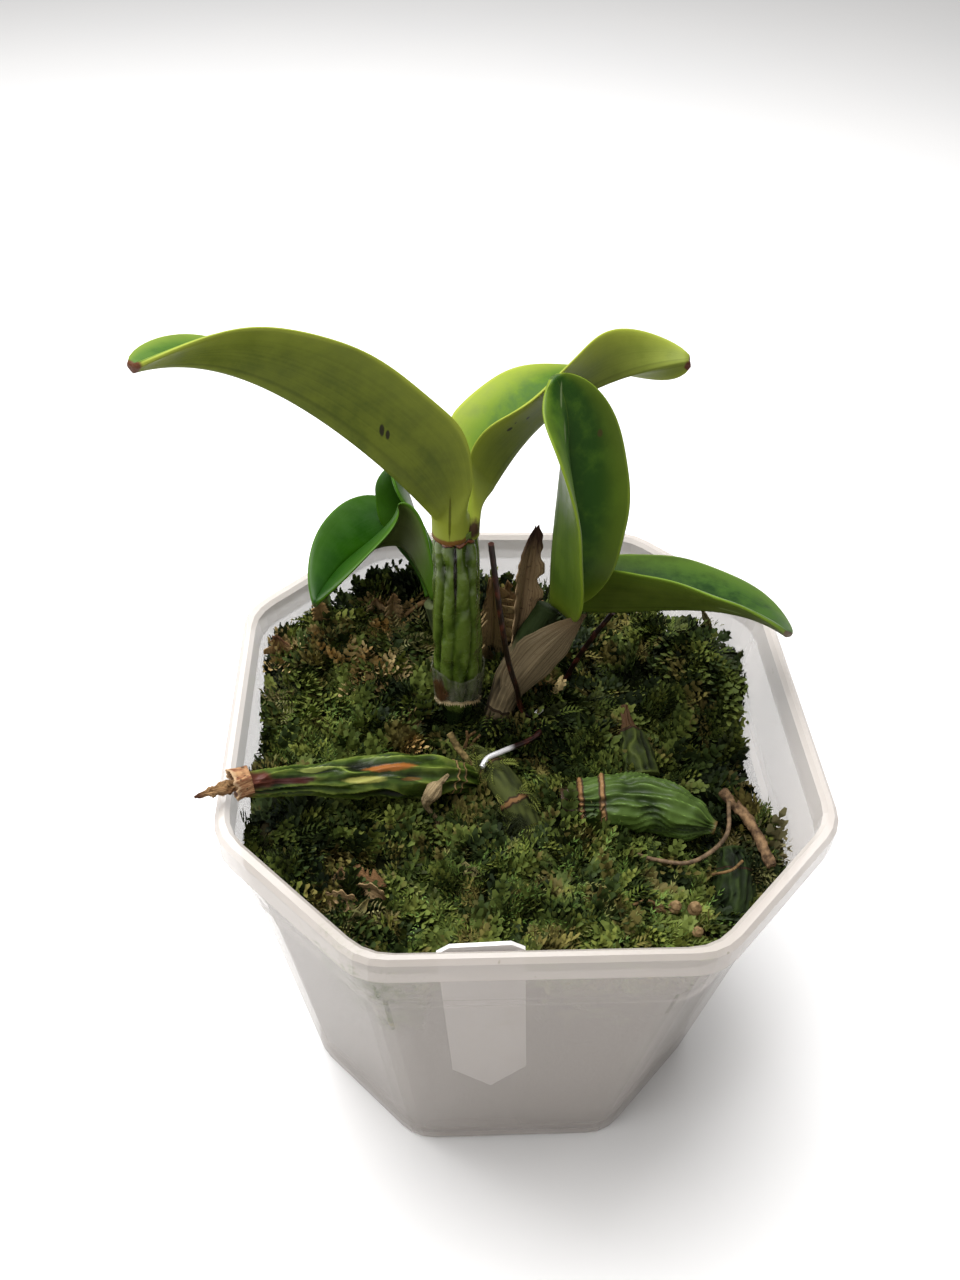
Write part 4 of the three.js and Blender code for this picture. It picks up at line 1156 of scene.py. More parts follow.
def shoot(name, length, steps, leaf, width, slant, rows=TO_THE_SIDES, outline=HAIR):
    """A shoot along +Y with its face up, with leaves at so many steps along it. leaf and width are their
    size in mm. slant is how many degrees they stand off the stalk, and rows on which sides, 0 is on top."""
    points, faces = [], []

    def add_leaf(root, direction, up, size):
        side = np.cross(direction, up) * width * size / 2
        ahead = direction * size * leaf
        first = len(points)
        lift = up * LIFT * leaf
        points.extend(root + a * ahead + b * side + c * lift for a, b, c in outline["points"])
        faces.extend(tuple(first + corner for corner in face) for face in outline["faces"])

    def spine(t):
        return np.array([0.0, length * t, BOW * math.sin(math.pi * t) - SAG * t])

    a = math.radians(slant)
    for k in range(steps):
        t = (k + 0.3) / steps
        size = math.sin(math.pi * (0.16 + 0.68 * t)) ** 0.6
        for row in rows:
            r = math.radians(row)
            outward = np.array([math.sin(r), 0, 0.35 + 0.65 * math.cos(r)])
            outward /= np.linalg.norm(outward)
            direction = np.array([0, math.cos(a), 0]) + outward * math.sin(a)
            up = np.cross(np.cross(direction, (0, 0, 1)), direction)
            add_leaf(spine(t + 0.1 * (row == 0) / steps), direction, up / np.linalg.norm(up), size)
    add_leaf(spine(LAST_LEAF[0]), np.array([0, 1.0, 0]), np.array([0, 0, 1.0]), LAST_LEAF[1])
    print(name, "has", sum(len(face) - 2 for face in faces), "triangles")
    return bpy.data.objects.new(name, mesh_of(name, points, faces, smooth=False))


SHOOTS = {
    "braided": shoot("braided_shoot", 4.0, 4, leaf=1.6, width=0.8, slant=36, rows=ALL_ROUND, outline=SCALE),
    "feather": shoot("feather_shoot", 4.6, 7, leaf=1.5, width=0.42, slant=46),
    "strand": shoot("strand_shoot", 6.0, 5, leaf=1.1, width=0.26, slant=24),
}

# %% [markdown]
# ### The nodes that strew the shoots
# The tree takes the bed's skin as its input. Points fall on it at random but always the same, since the
# seed is fixed. A point's own rotation stands the shoot's face along the skin, and three more angles
# turn it: its turn follows a slow noise, which makes the swirls, and its lean lifts the tip.


# %% A tree of nodes
class Tree(Nodes):
    """A tree of Geometry Nodes with named inputs, the last of which is the finish."""

    def __init__(self, name, inputs, output):
        self.tree = bpy.data.node_groups.new(name, "GeometryNodeTree")
        for title, kind in inputs.items():
            self.tree.interface.new_socket(name=title, in_out="INPUT", socket_type="NodeSocket" + kind)
        self.tree.interface.new_socket(name=output, in_out="OUTPUT", socket_type="NodeSocketGeometry")
        self.given = self.add("NodeGroupInput").outputs

    def store(self, name, geometry, value, domain):
        """Keeps a value on each point or each copy, for the finish to read."""
        inputs = {"Geometry": geometry, "Name": name, "Value": value}
        kept = self.add("GeometryNodeStoreNamedAttribute", inputs, data_type="FLOAT", domain=domain)
        return kept.outputs[0]

    def end(self, geometry):
        """Makes the copies real, gives them the finish and hands them out."""
        real = self.add("GeometryNodeRealizeInstances", {0: geometry}).outputs[0]
        inputs = {"Geometry": real, "Material": self.given["Finish"]}
        self.add("NodeGroupOutput", {0: self.add("GeometryNodeSetMaterial", inputs).outputs[0]})
        print(self.tree.name, "has", len(self.tree.nodes), "nodes")
        return self

    def grow(self, name, mesh, **wanted):
        """The plain mesh that the tree makes from another. wanted gives each input by its name."""
        holder = placed(name, mesh)
        modifier = holder.modifiers.new("nodes", "NODES")
        modifier.node_group = self.tree
        for item in self.tree.interface.items_tree:
            key = item.name.replace(" ", "_").lower()
            if item.in_out == "INPUT" and key in wanted:
                modifier[item.identifier] = wanted[key]
        shown = holder.evaluated_get(bpy.context.evaluated_depsgraph_get())
        grown = bpy.data.meshes.new_from_object(shown)
        bpy.data.objects.remove(holder)
        grown.name = name
        return grown


print("a tree adds:", ", ".join(word for word in vars(Tree) if not word.startswith("_")))


# %% The strewing tree
SWIRL_SCALE = 85
SWIRL_TURN = 6 * math.pi
SIDE_LEAN = 0.6  # radians to either side


def strewing_tree():
    inputs = {
        "Skin": "Geometry", "Shoot": "Object", "Per Square Metre": "Float", "Seed": "Int",
        "Smallest": "Float", "Largest": "Float", "Lowest Lean": "Float", "Highest Lean": "Float",
        "Disorder": "Float", "Finish": "Material",
    }
    strew = Tree("strew_shoots", inputs, "Shoots")
    given = strew.given

    def draw(shift, low, high):
        """A random number for each point, between two sockets or values."""
        inputs = {2: low, 3: high, "Seed": strew.plus(given["Seed"], shift)}
        return strew.add("FunctionNodeRandomValue", inputs, data_type="FLOAT").outputs[1]

    thick = strew.add("GeometryNodeInputNamedAttribute", {"Name": "thick"}, data_type="FLOAT")
    inputs = {
        "Mesh": given["Skin"],
        "Density": strew.times(thick.outputs["Attribute"], given["Per Square Metre"]),
        "Seed": given["Seed"],
    }
    where = strew.add("GeometryNodeDistributePointsOnFaces", inputs, distribute_method="RANDOM").outputs
    position = strew.add("GeometryNodeInputPosition").outputs[0]
    swirl = strew.add("ShaderNodeTexNoise", {"Vector": position, "Scale": SWIRL_SCALE, "Detail": 1})
    flow = strew.times(swirl.outputs["Fac"], SWIRL_TURN)
    angles = {
        "X": draw(2, given["Lowest Lean"], given["Highest Lean"]),
        "Y": draw(3, -SIDE_LEAN, SIDE_LEAN),
        "Z": strew.math("MULTIPLY_ADD", draw(1, -math.pi, math.pi), given["Disorder"], flow),
    }
    own = strew.add("FunctionNodeEulerToRotation", {0: strew.add("ShaderNodeCombineXYZ", angles).outputs[0]})
    turned = {0: where["Rotation"], 1: own.outputs[0]}
    inputs = {
        "Points": where["Points"],
        "Instance": strew.add("GeometryNodeObjectInfo", {"Object": given["Shoot"]}).outputs["Geometry"],
        "Rotation": strew.add("FunctionNodeRotateRotation", turned, rotation_space="LOCAL").outputs[0],
        "Scale": draw(4, given["Smallest"], given["Largest"]),
    }
    stand = strew.add("GeometryNodeInstanceOnPoints", inputs).outputs[0]
    return strew.end(strew.store("tone", stand, draw(5, 0.0, 1.0), "INSTANCE"))


STREW = strewing_tree()


# %% The finish of the shoots
# The middle and the half sizes of a place on the bed, in mm, and how much lighter its tones are.
LIGHTER = [
    ((8, -36, 66), (26, 9, 9), 0.17),
    ((-34, 4, 70), (10, 12, 9), 0.14),
    ((-14, 38, 72), (22, 9, 9), -0.26),
    ((-30, -27, 70), (12, 9, 9), -0.12),
]


def shoot_finish(name, dark, middle, bright, dry, dry_share):
    """Tones from dark to bright, shoot by shoot and in drifts over the bed, and some shoots dried."""
    green = Recipe(name, Roughness=0.65, Specular_IOR_Level=0.2)
    drift = green.noise(green.place(), 75.0, detail=2)
    broad = green.noise(green.place(), 28.0, detail=1)
    tone = green.attribute("tone")
    value = green.plus(green.times(tone, 0.42), green.times(drift, 0.75))
    value = green.plus(value, green.times(broad, 0.45))
    for centre, size, more in LIGHTER:
        value = green.plus(value, green.times(green.patch(centre, size), more))
    colour = green.ramp(green.between(value, 0.5, 1.08), (0.0, dark), (1.0, bright), (0.5, middle))
    fallow = green.plus(green.noise(green.place(), 130.0, detail=2, distortion=0.6), green.times(tone, 0.16))
    dried = green.between(fallow, 0.74 - dry_share, 0.8 - dry_share)
    green.set(Base_Color=green.mix(green.times(dried, 0.8), colour, dry))
    return green.material


print("places on the bed with other tones:", len(LIGHTER))


# %% The skins that the shoots grow from
SKIN_LOWEST = 54
BED_TOP = [face for face in bed_faces if min(bed_points[i][2] for i in face) > SKIN_LOWEST]


def bed_skin(thickness):
    """The bed's top and the upper edge of its side, with how thick the shoots grow there."""
    return mesh_of("moss_skin", bed_points, BED_TOP, {"thick": [thickness(x, y) for x, y, _ in bed_points]})


def rhizome_skin():
    """The upper side of the rhizome, which is mossy too, with more shoots towards its low ends."""
    rings, _ = wrinkled(STALKS["rhizome"], sides=40, steps=60)
    points, faces, _ = loft(rings, {})
    middle = rings.mean(1)
    thick = []
    for x, y, z in points:
        near = int(np.argmin(((middle - (x, y, z)) ** 2).sum(1)))
        low = 1 - min(abs(near / len(middle) - 0.55) / 0.2, 1) ** 2
        thick.append(max(0.0, 1 - 0.8 * low) if z > middle[near][2] - 0.6 else 0.0)
    return mesh_of("rhizome_moss_skin", points, faces, {"thick": thick})


print("skin of", len(BED_TOP), "faces")


# %% Where each kind of moss grows
def everywhere(x, y):
    return 1.0


def low_front(x, y):
    """The bright feathery moss: the middle of the front and the left side."""
    front = math.exp(-((x - 8) ** 2) / 800 - ((y + 34) ** 2) / 170)
    left = math.exp(-((x + 34) ** 2) / 130 - ((y - 4) ** 2) / 160)
    return min(1.0, front + 0.8 * left)


def tufts(*places):
    """Shoots only in small round tufts, each given by its middle and its radius in mm."""

    def thickness(x, y):
        return min(1.0, sum(math.exp(-((x - a) ** 2 + (y - b) ** 2) / (2 * r * r)) for a, b, r in places))

    return thickness


print("low front moss at the front's middle:", round(low_front(8, -34), 2))

# %% The drifts
DRY_TUFTS = tufts(
    (-25.8, 33, 1.4), (-22.7, 31.5, 1.4), (-26.4, 21.6, 2.6), (-30, 20, 1.6), (-19.7, 3.9, 1.6),
    (-2, 22, 2.2), (6.2, 14.6, 1.0), (-44, 23.4, 1.8), (-37.7, 24.8, 1.2),
)
PALE_TUFTS = tufts((39, -20, 2.0), (-41.8, 12, 1.4), (44, -13, 1.4), (-22, 27, 2.4), (-27, -34.4, 2.0))
SPRAY = tufts((42, -18.5, 1.7), (44, -15, 1.3))
OLIVE = {"dark": (20, 26, 8), "middle": (64, 72, 26), "bright": (118, 126, 56), "dry": (126, 114, 62)}
DEEP = {"dark": (14, 24, 8), "middle": (50, 64, 24), "bright": (98, 110, 48), "dry": (96, 84, 44)}
FRESH = {"dark": (24, 34, 10), "middle": (66, 80, 28), "bright": (114, 128, 56), "dry": (124, 112, 62)}
STRAW = {"dark": (116, 98, 60), "middle": (160, 140, 94), "bright": (200, 178, 126), "dry": (168, 134, 78)}
USUAL = {"smallest": 0.85, "largest": 1.25, "lean": (-4, 48), "dry_share": 0.12}
# What a drift doesn't say is as usual. lean: degrees that its shoots stand up from the bed.
DRIFTS = {
    "moss_shoots_a": {
        "where": everywhere, "kind": "braided", "seed": 11, "per_square_metre": 390000, "largest": 1.45,
        "greens": OLIVE, "dry_share": 0.05,
    },
    "moss_shoots_b": {
        "where": everywhere, "kind": "braided", "seed": 23, "per_square_metre": 390000, "largest": 1.8,
        "greens": DEEP, "dry_share": 0.08,
    },
    "moss_feathers": {
        "where": everywhere, "kind": "feather", "seed": 37, "per_square_metre": 360000,
        "greens": FRESH, "dry_share": 0.06,
    },
    "moss_strands": {
        "where": low_front, "kind": "strand", "seed": 41, "per_square_metre": 800000,
        "greens": {
            "dark": (44, 62, 24), "middle": (80, 106, 42), "bright": (122, 150, 78), "dry": (140, 138, 84),
        },
    },
    "moss_dry_tufts": {
        "where": DRY_TUFTS, "kind": "braided", "seed": 53, "per_square_metre": 1000000, "largest": 1.5,
        "lean": (10, 85), "greens": STRAW,
    },
    "moss_pale_tufts": {
        "where": PALE_TUFTS, "kind": "feather", "seed": 67, "per_square_metre": 1100000, "largest": 1.3,
        "lean": (10, 70),
        "greens": {
            "dark": (84, 84, 46), "middle": (122, 122, 76), "bright": (164, 162, 112), "dry": (130, 118, 78),
        },
    },
    "moss_on_rhizome": {
        "where": "rhizome", "kind": "feather", "seed": 83, "per_square_metre": 520000,
        "smallest": 0.4, "largest": 0.75, "lean": (-12, 16), "greens": OLIVE, "dry_share": 0.05,
    },
    "moss_spray": {
        "where": SPRAY, "kind": "braided", "seed": 71, "per_square_metre": 700000, "largest": 2.2,
        "lean": (25, 95),
        "greens": {
            "dark": (88, 84, 56), "middle": (120, 114, 78), "bright": (152, 142, 104), "dry": (124, 104, 70),
        },
    },
}

print("drifts:", ", ".join(DRIFTS))


# %% Grow the moss
DISORDER = 0.3
LOWEST_SHOOT = 3


def keep_inside(mesh):
    """Presses what has grown through the pot's wall back against its inside."""
    points = np.empty(len(mesh.vertices) * 3)
    mesh.vertices.foreach_get("co", points)
    points = points.reshape(-1, 3) / MM
    points[:, 2] = np.maximum(points[:, 2], LOWEST_SHOOT)
    mesh.vertices.foreach_set("co", (inside_wall(points, SHOOT_INSET) * MM).reshape(-1))
    mesh.update()


for drift_name, drift_values in DRIFTS.items():
    drift = USUAL | drift_values
    lowest_lean, highest_lean = (math.radians(angle) for angle in drift["lean"])
    drift_mesh = STREW.grow(
        drift_name,
        rhizome_skin() if drift["where"] == "rhizome" else bed_skin(drift["where"]),
        **{key: drift[key] for key in ("seed", "per_square_metre", "smallest", "largest")},
        shoot=SHOOTS[drift["kind"]],
        lowest_lean=lowest_lean,
        highest_lean=highest_lean,
        disorder=DISORDER,
        finish=shoot_finish(drift_name + "_finish", **drift["greens"], dry_share=drift["dry_share"]),
    )
    keep_inside(drift_mesh)
    add_piece(drift_name, drift_mesh, "moss")

# %% [markdown]
# ## Wires, roots and twigs
# These are round and follow a line, so one tree of Geometry Nodes makes them all: the line is swept with
# a ring, and its surface is pushed in and out by noise. It keeps the share along the line for the finish.
# A wire gets no noise, a root some and the twig the most.

# %% The measures of the wires and roots
# rough: how far the surface goes in and out, as a share of the radius. grain: how fine that is.
TUBES = {
    "wire_pin_left": {
        "path": [
            (-6, 6, 113), (-4.6, 6, 103), (-2.1, 6, 87.6), (-0.1, 6, 80), (1.2, 6.8, 74), (2.8, 6.4, 72.6),
            (5, 7.8, 73),
        ],
        "radius": 0.5,
    },
    "wire_pin_lower": {
        "path": [
            (3, 6.4, 69.6), (4.2, 3.2, 71.8), (2.6, 0.8, 72.6), (-3, -3, 73.6), (-5.6, -4.5, 73.6),
            (-6.7, -6.2, 73.2),
        ],
        "radius": 0.5,
    },
    "wire_pin_right": {
        "path": [(9.6, 17, 67.4), (10.9, 17, 73), (14.2, 17, 81.6), (17.6, 17, 88.4)], "radius": 0.5,
    },
    "twig": {
        "path": [(36.2, -8.4, 68.4), (39.8, -15.2, 68), (42.2, -23, 66.2)],
        "radius": 0.95, "rough": 0.5, "grain": 900,
    },
    "root_curved": {
        "path": [
            (36.2, -12.4, 70.4), (34, -20, 70.4), (27.4, -24.4, 69.6), (22.2, -22.8, 68.2), (18.4, -19.6, 66),
        ],
        "radius": 0.36, "rough": 0.22, "grain": 1500,
    },
    "root_dry_stub": {
        "path": [(-12.2, 0.6, 74.6), (-10.2, -1.4, 72), (-8.2, -3.2, 70.4)],
        "radius": 0.6, "rough": 0.4, "grain": 1300,
    },
}
print("tubes:", ", ".join(TUBES))


# %% The sweeping tree
TUBE_SIDES = 20


def sweeping_tree():
    inputs = {"Line": "Geometry", "Radius": "Float", "Rough": "Float", "Grain": "Float", "Finish": "Material"}
    sweep = Tree("sweep_tube", inputs, "Tube")
    given = sweep.given
    curve = sweep.add("GeometryNodeMeshToCurve", {0: given["Line"]}).outputs[0]
    share = sweep.add("GeometryNodeSplineParameter").outputs["Factor"]
    circle = {"Resolution": TUBE_SIDES, "Radius": given["Radius"]}
    inputs = {
        "Curve": sweep.store("along", curve, share, "POINT"),
        "Profile Curve": sweep.add("GeometryNodeCurvePrimitiveCircle", circle).outputs[0],
        "Fill Caps": True,
    }
    swept = sweep.add("GeometryNodeCurveToMesh", inputs).outputs[0]
    bumps = sweep.minus(sweep.add("ShaderNodeTexNoise", {"Scale": given["Grain"]}).outputs["Fac"], 0.5)
    height = sweep.times(bumps, sweep.times(given["Rough"], given["Radius"]))
    normal = sweep.add("GeometryNodeInputNormal").outputs[0]
    push = sweep.add("ShaderNodeVectorMath", {0: normal, "Scale": height}, operation="SCALE").outputs[0]
    return sweep.end(sweep.add("GeometryNodeSetPosition", {"Geometry": swept, "Offset": push}).outputs[0])


SWEEP = sweeping_tree()


def tube(name, path, finish, radius, rough=0.0, grain=800.0, count=90):
    """A round mesh along a path. The noise goes half its range to each side, so rough is doubled."""
    centres, _, _ = stations(path, count)
    line = bpy.data.meshes.new(name + "_line")
    line.from_pydata((centres * MM).tolist(), [(i, i + 1) for i in range(count - 1)], [])
    made = SWEEP.grow(name, line, radius=radius * MM, rough=2 * rough, grain=grain, finish=finish)
    made.polygons.foreach_set("use_smooth", [True] * len(made.polygons))
    return made


# %% [markdown]
# The pins are iron wire with a dark lacquer that shines like copper where it catches the light. At the
# hook and at one end the wire is white.


# %% The finishes of the wires and roots
def wire_finish(name, white_span=None):
    """It is white over the given range of the share along the wire."""
    wire = Recipe(name, Roughness=0.28, Specular_IOR_Level=0.7, Metallic=0.35)
    blotched = wire.noise(wire.place(), 500.0, detail=4)
    colour = wire.mix(wire.between(blotched, 0.45, 0.7), (30, 12, 12), (88, 42, 34))
    if white_span:
        white = wire.between(wire.plus(wire.attribute("along"), wire.swing(blotched, 0.12)), *white_span)
        colour = wire.mix(white, colour, (226, 224, 226))
    wire.set(Base_Color=colour)
    wire.bump(blotched, 0.05)
    return wire.material


def bark_finish(name, dark, light, rough=0.85):
    bark = Recipe(name, Roughness=rough, Specular_IOR_Level=0.2)
    grain = bark.noise(bark.place(), 600.0, detail=6, roughness=0.65)
    bark.set(Base_Color=bark.mix(bark.between(grain, 0.35, 0.68), dark, light))
    bark.bump(grain, 0.3, 0.8)
    return bark.material


TUBE_FINISHES = {
    "wire_pin_left": (wire_finish("wire_left_finish", white_span=(0.93, 0.96)), "wire"),
    "wire_pin_lower": (wire_finish("wire_lower_finish", white_span=(0.58, 0.68)), "wire"),
    "wire_pin_right": (wire_finish("wire_right_finish"), "wire"),
    "twig": (bark_finish("twig_finish", (62, 46, 32), (138, 110, 80)), "dry_wood"),
    "root_curved": (bark_finish("root_finish", (72, 58, 42), (120, 98, 74), rough=0.6), "dry_wood"),
    "root_dry_stub": (bark_finish("stub_finish", (92, 78, 48), (150, 128, 84)), "dry_wood"),
}

print("tube finishes:", len(TUBE_FINISHES))

# %% Bend the wires and grow the roots
for tube_name, tube_values in TUBES.items():
    tube_skin, tube_slot = TUBE_FINISHES[tube_name]
    tube_mesh = tube(tube_name + "_round", finish=tube_skin, **tube_values)
    add_piece(tube_name + "_round", tube_mesh, tube_slot, stands_for=tube_name)

# %% [markdown]
# ## Dry sheaths and scraps
# Dry sheaths are papery, with fine ribs along them and torn ends. They are blades too, like the leaves,
# only thinner, with a margin that is cut in by noise and a tip that frays. The same shape at a smaller
# size makes the scraps of dry moss and bark on the bed.

# %% The measures of the husks
# They have the values of a leaf, and three more. ragged: how deep the margins are torn. pace: how close
# the tears lie. fray: how far the tip is torn back, in mm.
HUSKS = {
    "sheath_spike": {
        "path": [(-1.2, 12.6, 82), (1.2, 16.4, 90), (0, 16.6, 100), (2.5, 15.6, 110)],
        "mouth": (150, 10), "folds": (55, 40, 20), "half_width": 3.5, "neck": 0.6, "widest": 0.4, "tip": 0.7,
        "ragged": 0.3, "fray": 2.5, "pace": 13,
    },
    "sheath_fan": {
        "path": [(-1.9, 7.2, 75), (0.2, 6.6, 81), (3.2, 7.2, 88), (11.6, 8.4, 96.4)],
        "mouth": (10, 10), "folds": (34, 22, 8), "half_width": 4.6, "neck": 0.4, "widest": 0.5, "tip": 1.15,
        "ragged": 0.1, "fray": 1.2, "pace": 9,
    },
    "scrap_tall": {
        "path": [(-4.4, 21, 69), (-3.6, 21.4, 78), (-3.6, 21, 86), (-4.6, 20.4, 94.6)],
        "mouth": (170, 10), "roll": (0, 20), "folds": (40, 30, 40), "half_width": 4.2,
        "neck": 0.5, "widest": 0.5, "tip": 0.7, "ragged": 0.75, "fray": 3, "pace": 30,
    },
    "scrap_back": {
        "path": [(-43, 22.6, 69), (-43.6, 22.8, 74), (-44, 22.6, 78.6)],
        "mouth": (190, 10), "folds": (40, 20), "half_width": 2.7, "neck": 0.5, "widest": 0.5, "tip": 0.5,
        "ragged": 0.6, "fray": 1.8, "pace": 15,
    },
    "scrap_serrated": {
        "path": [(-35.6, 31, 70), (-36.2, 31, 76), (-37, 30, 82)],
        "mouth": (180, 10), "folds": (30, 20), "half_width": 1.6, "neck": 0.5, "widest": 0.4, "tip": 0.8,
        "ragged": 0.8, "fray": 0.8, "pace": 34,
    },
    "scrap_front": {
        "path": [(-31, -27, 69.6), (-27, -28, 71.4), (-22.6, -29, 70.8)],
        "mouth": (180, 70), "folds": (30, 20), "half_width": 2.2, "neck": 0.5, "widest": 0.4, "tip": 0.7,
        "ragged": 0.6, "fray": 1.2, "pace": 17,
    },
}


print("husks:", ", ".join(HUSKS))


# %% The shape of a husk
RIB = 0.07  # how far the ribs stand out, in mm
DEEPEST_TEAR = 0.25


def husk(spec, along=90, middle=0.55, edge=0.32, seed=0.0):
    """A torn blade: its halves differ in width, its ribs stand out and its tip frays."""
    rings, values = blade(spec, middle, edge, along, end=0.985, narrowest=0.25)
    t, across = values["along"], values["across"]
    centre = np.array([bezier(spec["path"], s) for s in t[:, 0]])[:, None]
    torn, frayed = np.empty(t.shape), np.empty(t.shape)
    for i in range(t.shape[0]):
        for j in range(t.shape[1]):
            left = 1.0 if across[i, j] > 0 else -1.0
            torn[i, j] = noise.noise(Vector((spec["pace"] * t[i, j], 7 * left + seed, 0.3)))
            frayed[i, j] = noise.noise(Vector((4.5 * across[i, j], seed, 2.7)))
    outer = ease(np.abs(across), 0.2, 1)
    cut = 1 + 1.6 * spec["ragged"] * np.minimum(torn, DEEPEST_TEAR) * outer
    rings = centre + (rings - centre) * cut[..., None]
    ribs = RIB * np.sin(34 * across + 2 * np.sin(5 * t + seed)) * (1 - 0.5 * values["back"])
    inward = centre - rings.mean(1)[:, None]
    inward = inward / np.maximum(np.linalg.norm(inward, axis=2), 1e-6)[..., None]
    ahead = np.gradient(centre[:, 0], axis=0)
    ahead = ahead / np.linalg.norm(ahead, axis=1)[:, None]
    near_tip = ease(t, 0.6, 1) * ease(np.abs(across) + 0.3 * ease(t, 0.9, 1), 0.1, 0.9)
    back = spec["fray"] * (0.5 + frayed) * near_tip
    return rings + inward * ribs[..., None] - ahead[:, None] * back[..., None], values


print("a coarse husk has", len(loft(*husk(HUSKS["scrap_back"], along=12))[0]), "points")


# %% The finish of a husk
SPECK = (62, 44, 30)


def husk_finish(name, dark, light, tip, specks=0.6):
    """dark and light run in streaks, tip colours the end, and specks is how strong the dark specks are."""
    dry = Recipe(name, Roughness=0.8, Specular_IOR_Level=0.25)
    along, across = dry.attribute("along"), dry.attribute("across")
    streak = dry.noise(dry.stretch(dry.join(across, along), (9, 1.1, 1)), 1.6, detail=5)
    fine = dry.noise(dry.stretch(dry.join(across, along), (30, 1.5, 1)), 1.3, detail=2)
    spots = dry.noise(dry.place(), 1300.0, detail=3)
    colour = dry.mix(dry.between(streak, 0.32, 0.68), dark, light)
    colour = dry.mix(dry.times(dry.between(fine, 0.56, 0.68), 0.55), colour, darker(dark, 0.55))
    colour = dry.mix(dry.times(dry.between(spots, 0.6, 0.68), specks), colour, SPECK)
    ended = dry.plus(along, dry.swing(streak, 0.5))
    dry.set(Base_Color=dry.mix(dry.between(ended, 0.74, 0.96), colour, tip))
    dry.bump(dry.plus(fine, dry.times(spots, 0.3)), 0.2, 0.8)
    return dry.material


HUSK_FINISHES = {
    "sheath_spike": {"dark": (116, 92, 62), "light": (168, 142, 108), "tip": (62, 38, 28)},
    "sheath_fan": {"dark": (92, 78, 54), "light": (140, 124, 96), "tip": (104, 86, 60), "specks": 0.2},
    "scrap_tall": {"dark": (112, 92, 58), "light": (166, 142, 100), "tip": (130, 104, 66)},
    "scrap_back": {"dark": (118, 90, 52), "light": (172, 142, 96), "tip": (84, 54, 32)},
    "scrap_serrated": {"dark": (122, 94, 52), "light": (168, 138, 90), "tip": (124, 94, 54)},
    "scrap_front": {"dark": (94, 66, 38), "light": (134, 100, 64), "tip": (104, 74, 44)},
}

print("husk finishes:", len(HUSK_FINISHES))

# %% Lay the husks
for place, (husk_name, husk_values) in enumerate(HUSKS.items()):
    husk_mesh = mesh_of(husk_name + "_torn", *loft(*husk(husk_values, seed=2.1 * place)))
    husk_slot = "dry_sheath" if husk_name.startswith("sheath") else "dry_scrap"
    husk_skin = husk_finish(husk_name + "_finish", **HUSK_FINISHES[husk_name])
    add_piece(husk_name + "_torn", husk_mesh, husk_slot, husk_skin, husk_name)

# %% [markdown]
# ## The sleeve, the bud and the withered end
# A papery sleeve, half see-through, is left round the foot of the upright pseudobulb. It ends in a pale
# torn fringe. The lying pseudobulb ends in two knobs and a spike, where its leaf and its flower stalk
# came off, and a dried bud with a root hangs at its foot.

# %% A form with two skins
def two_skins(row, steps):
    """Points, faces and values of a thin round wall, open at both ends. row gives the points of a ring
    by its share of the way and by the skin, which is 0 outside and 1 inside."""
    up = np.linspace(0, 1, steps)
    rings = np.array([row(share, skin) for skin, shares in ((0, up), (1, up[::-1])) for share in shares])
    count, sides, _ = rings.shape
    values = {
        "along": np.repeat(np.concatenate([up, up[::-1]]), sides),
        "across": np.tile(np.sin(turns(sides)), count),
    }
    return rings.reshape(-1, 3), ring_faces(count, sides, closed=True), values


def turns(sides):
    return np.linspace(0, 2 * math.pi, sides, endpoint=False)


# %% The sleeve
SLEEVE = {"low": 73.2, "tilt": 2.8, "high": 82.6, "gap": 0.25, "thickness": 0.22, "flare": 0.35}
# Where the middle of the pseudobulb is at one height, and how far it goes for each mm up.
SLEEVE_MIDDLE = {"height": 68, "place": (-10.25, 10.7), "lean": (-0.02, -0.022)}
SLEEVE_SIDES = 120


def sleeve_row(share, skin):
    """A ring of the tube round the foot of the upright pseudobulb."""
    spec = STALKS["pseudobulb_main"]
    foot, top = spec["path"][0][2], spec["path"][-1][2]
    angle = turns(SLEEVE_SIDES)
    wave = 0.54 * np.sin(2 * angle + 0.6) + 0.3 * np.sin(5 * angle)
    hem = SLEEVE["low"] - SLEEVE["tilt"] * np.sin(angle)
    z = hem + (SLEEVE["high"] - hem + wave) * share
    radius = spread(spec["radii"], (z.mean() - foot) / (top - foot))
    radius = radius + SLEEVE["gap"] + SLEEVE["flare"] * (1 - share) ** 1.5 + SLEEVE["thickness"] * (1 - skin)
    radius = radius + 0.12 * np.sin(13 * angle + 1.1) + 0.1 * np.sin(7 * angle + 3 * share)
    above = z.mean() - SLEEVE_MIDDLE["height"]
    x, y = (p + lean * above for p, lean in zip(SLEEVE_MIDDLE["place"], SLEEVE_MIDDLE["lean"]))
    return np.stack([x + radius * np.cos(angle), y + radius * np.sin(angle), z], 1)


def sleeve_finish():
    film = Recipe("sleeve_finish", Roughness=0.35, Specular_IOR_Level=0.5)
    grain = film.noise(film.stretch(film.place(), (1, 1, 0.12)), 1500.0, detail=4)
    blot = film.patch((-13.6, 8.0, 78), (1.6, 2.4, 3.4), ragged=0.6)
    colour = film.mix(film.between(grain, 0.35, 0.65), (88, 92, 70), (146, 146, 128))
    colour = film.mix(blot, colour, (84, 54, 34))
    edge = film.between(film.attribute("along"), 0.08, 0.0)
    colour = film.mix(edge, colour, (170, 154, 118))
    clear = film.math("MAXIMUM", film.times(blot, 0.7), film.between(grain, 0.4, 0.8, 0.22, 0.5))
    film.set(Base_Color=colour, Alpha=film.math("MAXIMUM", clear, edge))
    film.bump(grain, 0.15)
    return film.material


sleeve_mesh = mesh_of("sheath_main_film", *two_skins(sleeve_row, steps=18))
add_piece("sheath_main_film", sleeve_mesh, "dry_sheath", sleeve_finish(), "sheath_main")


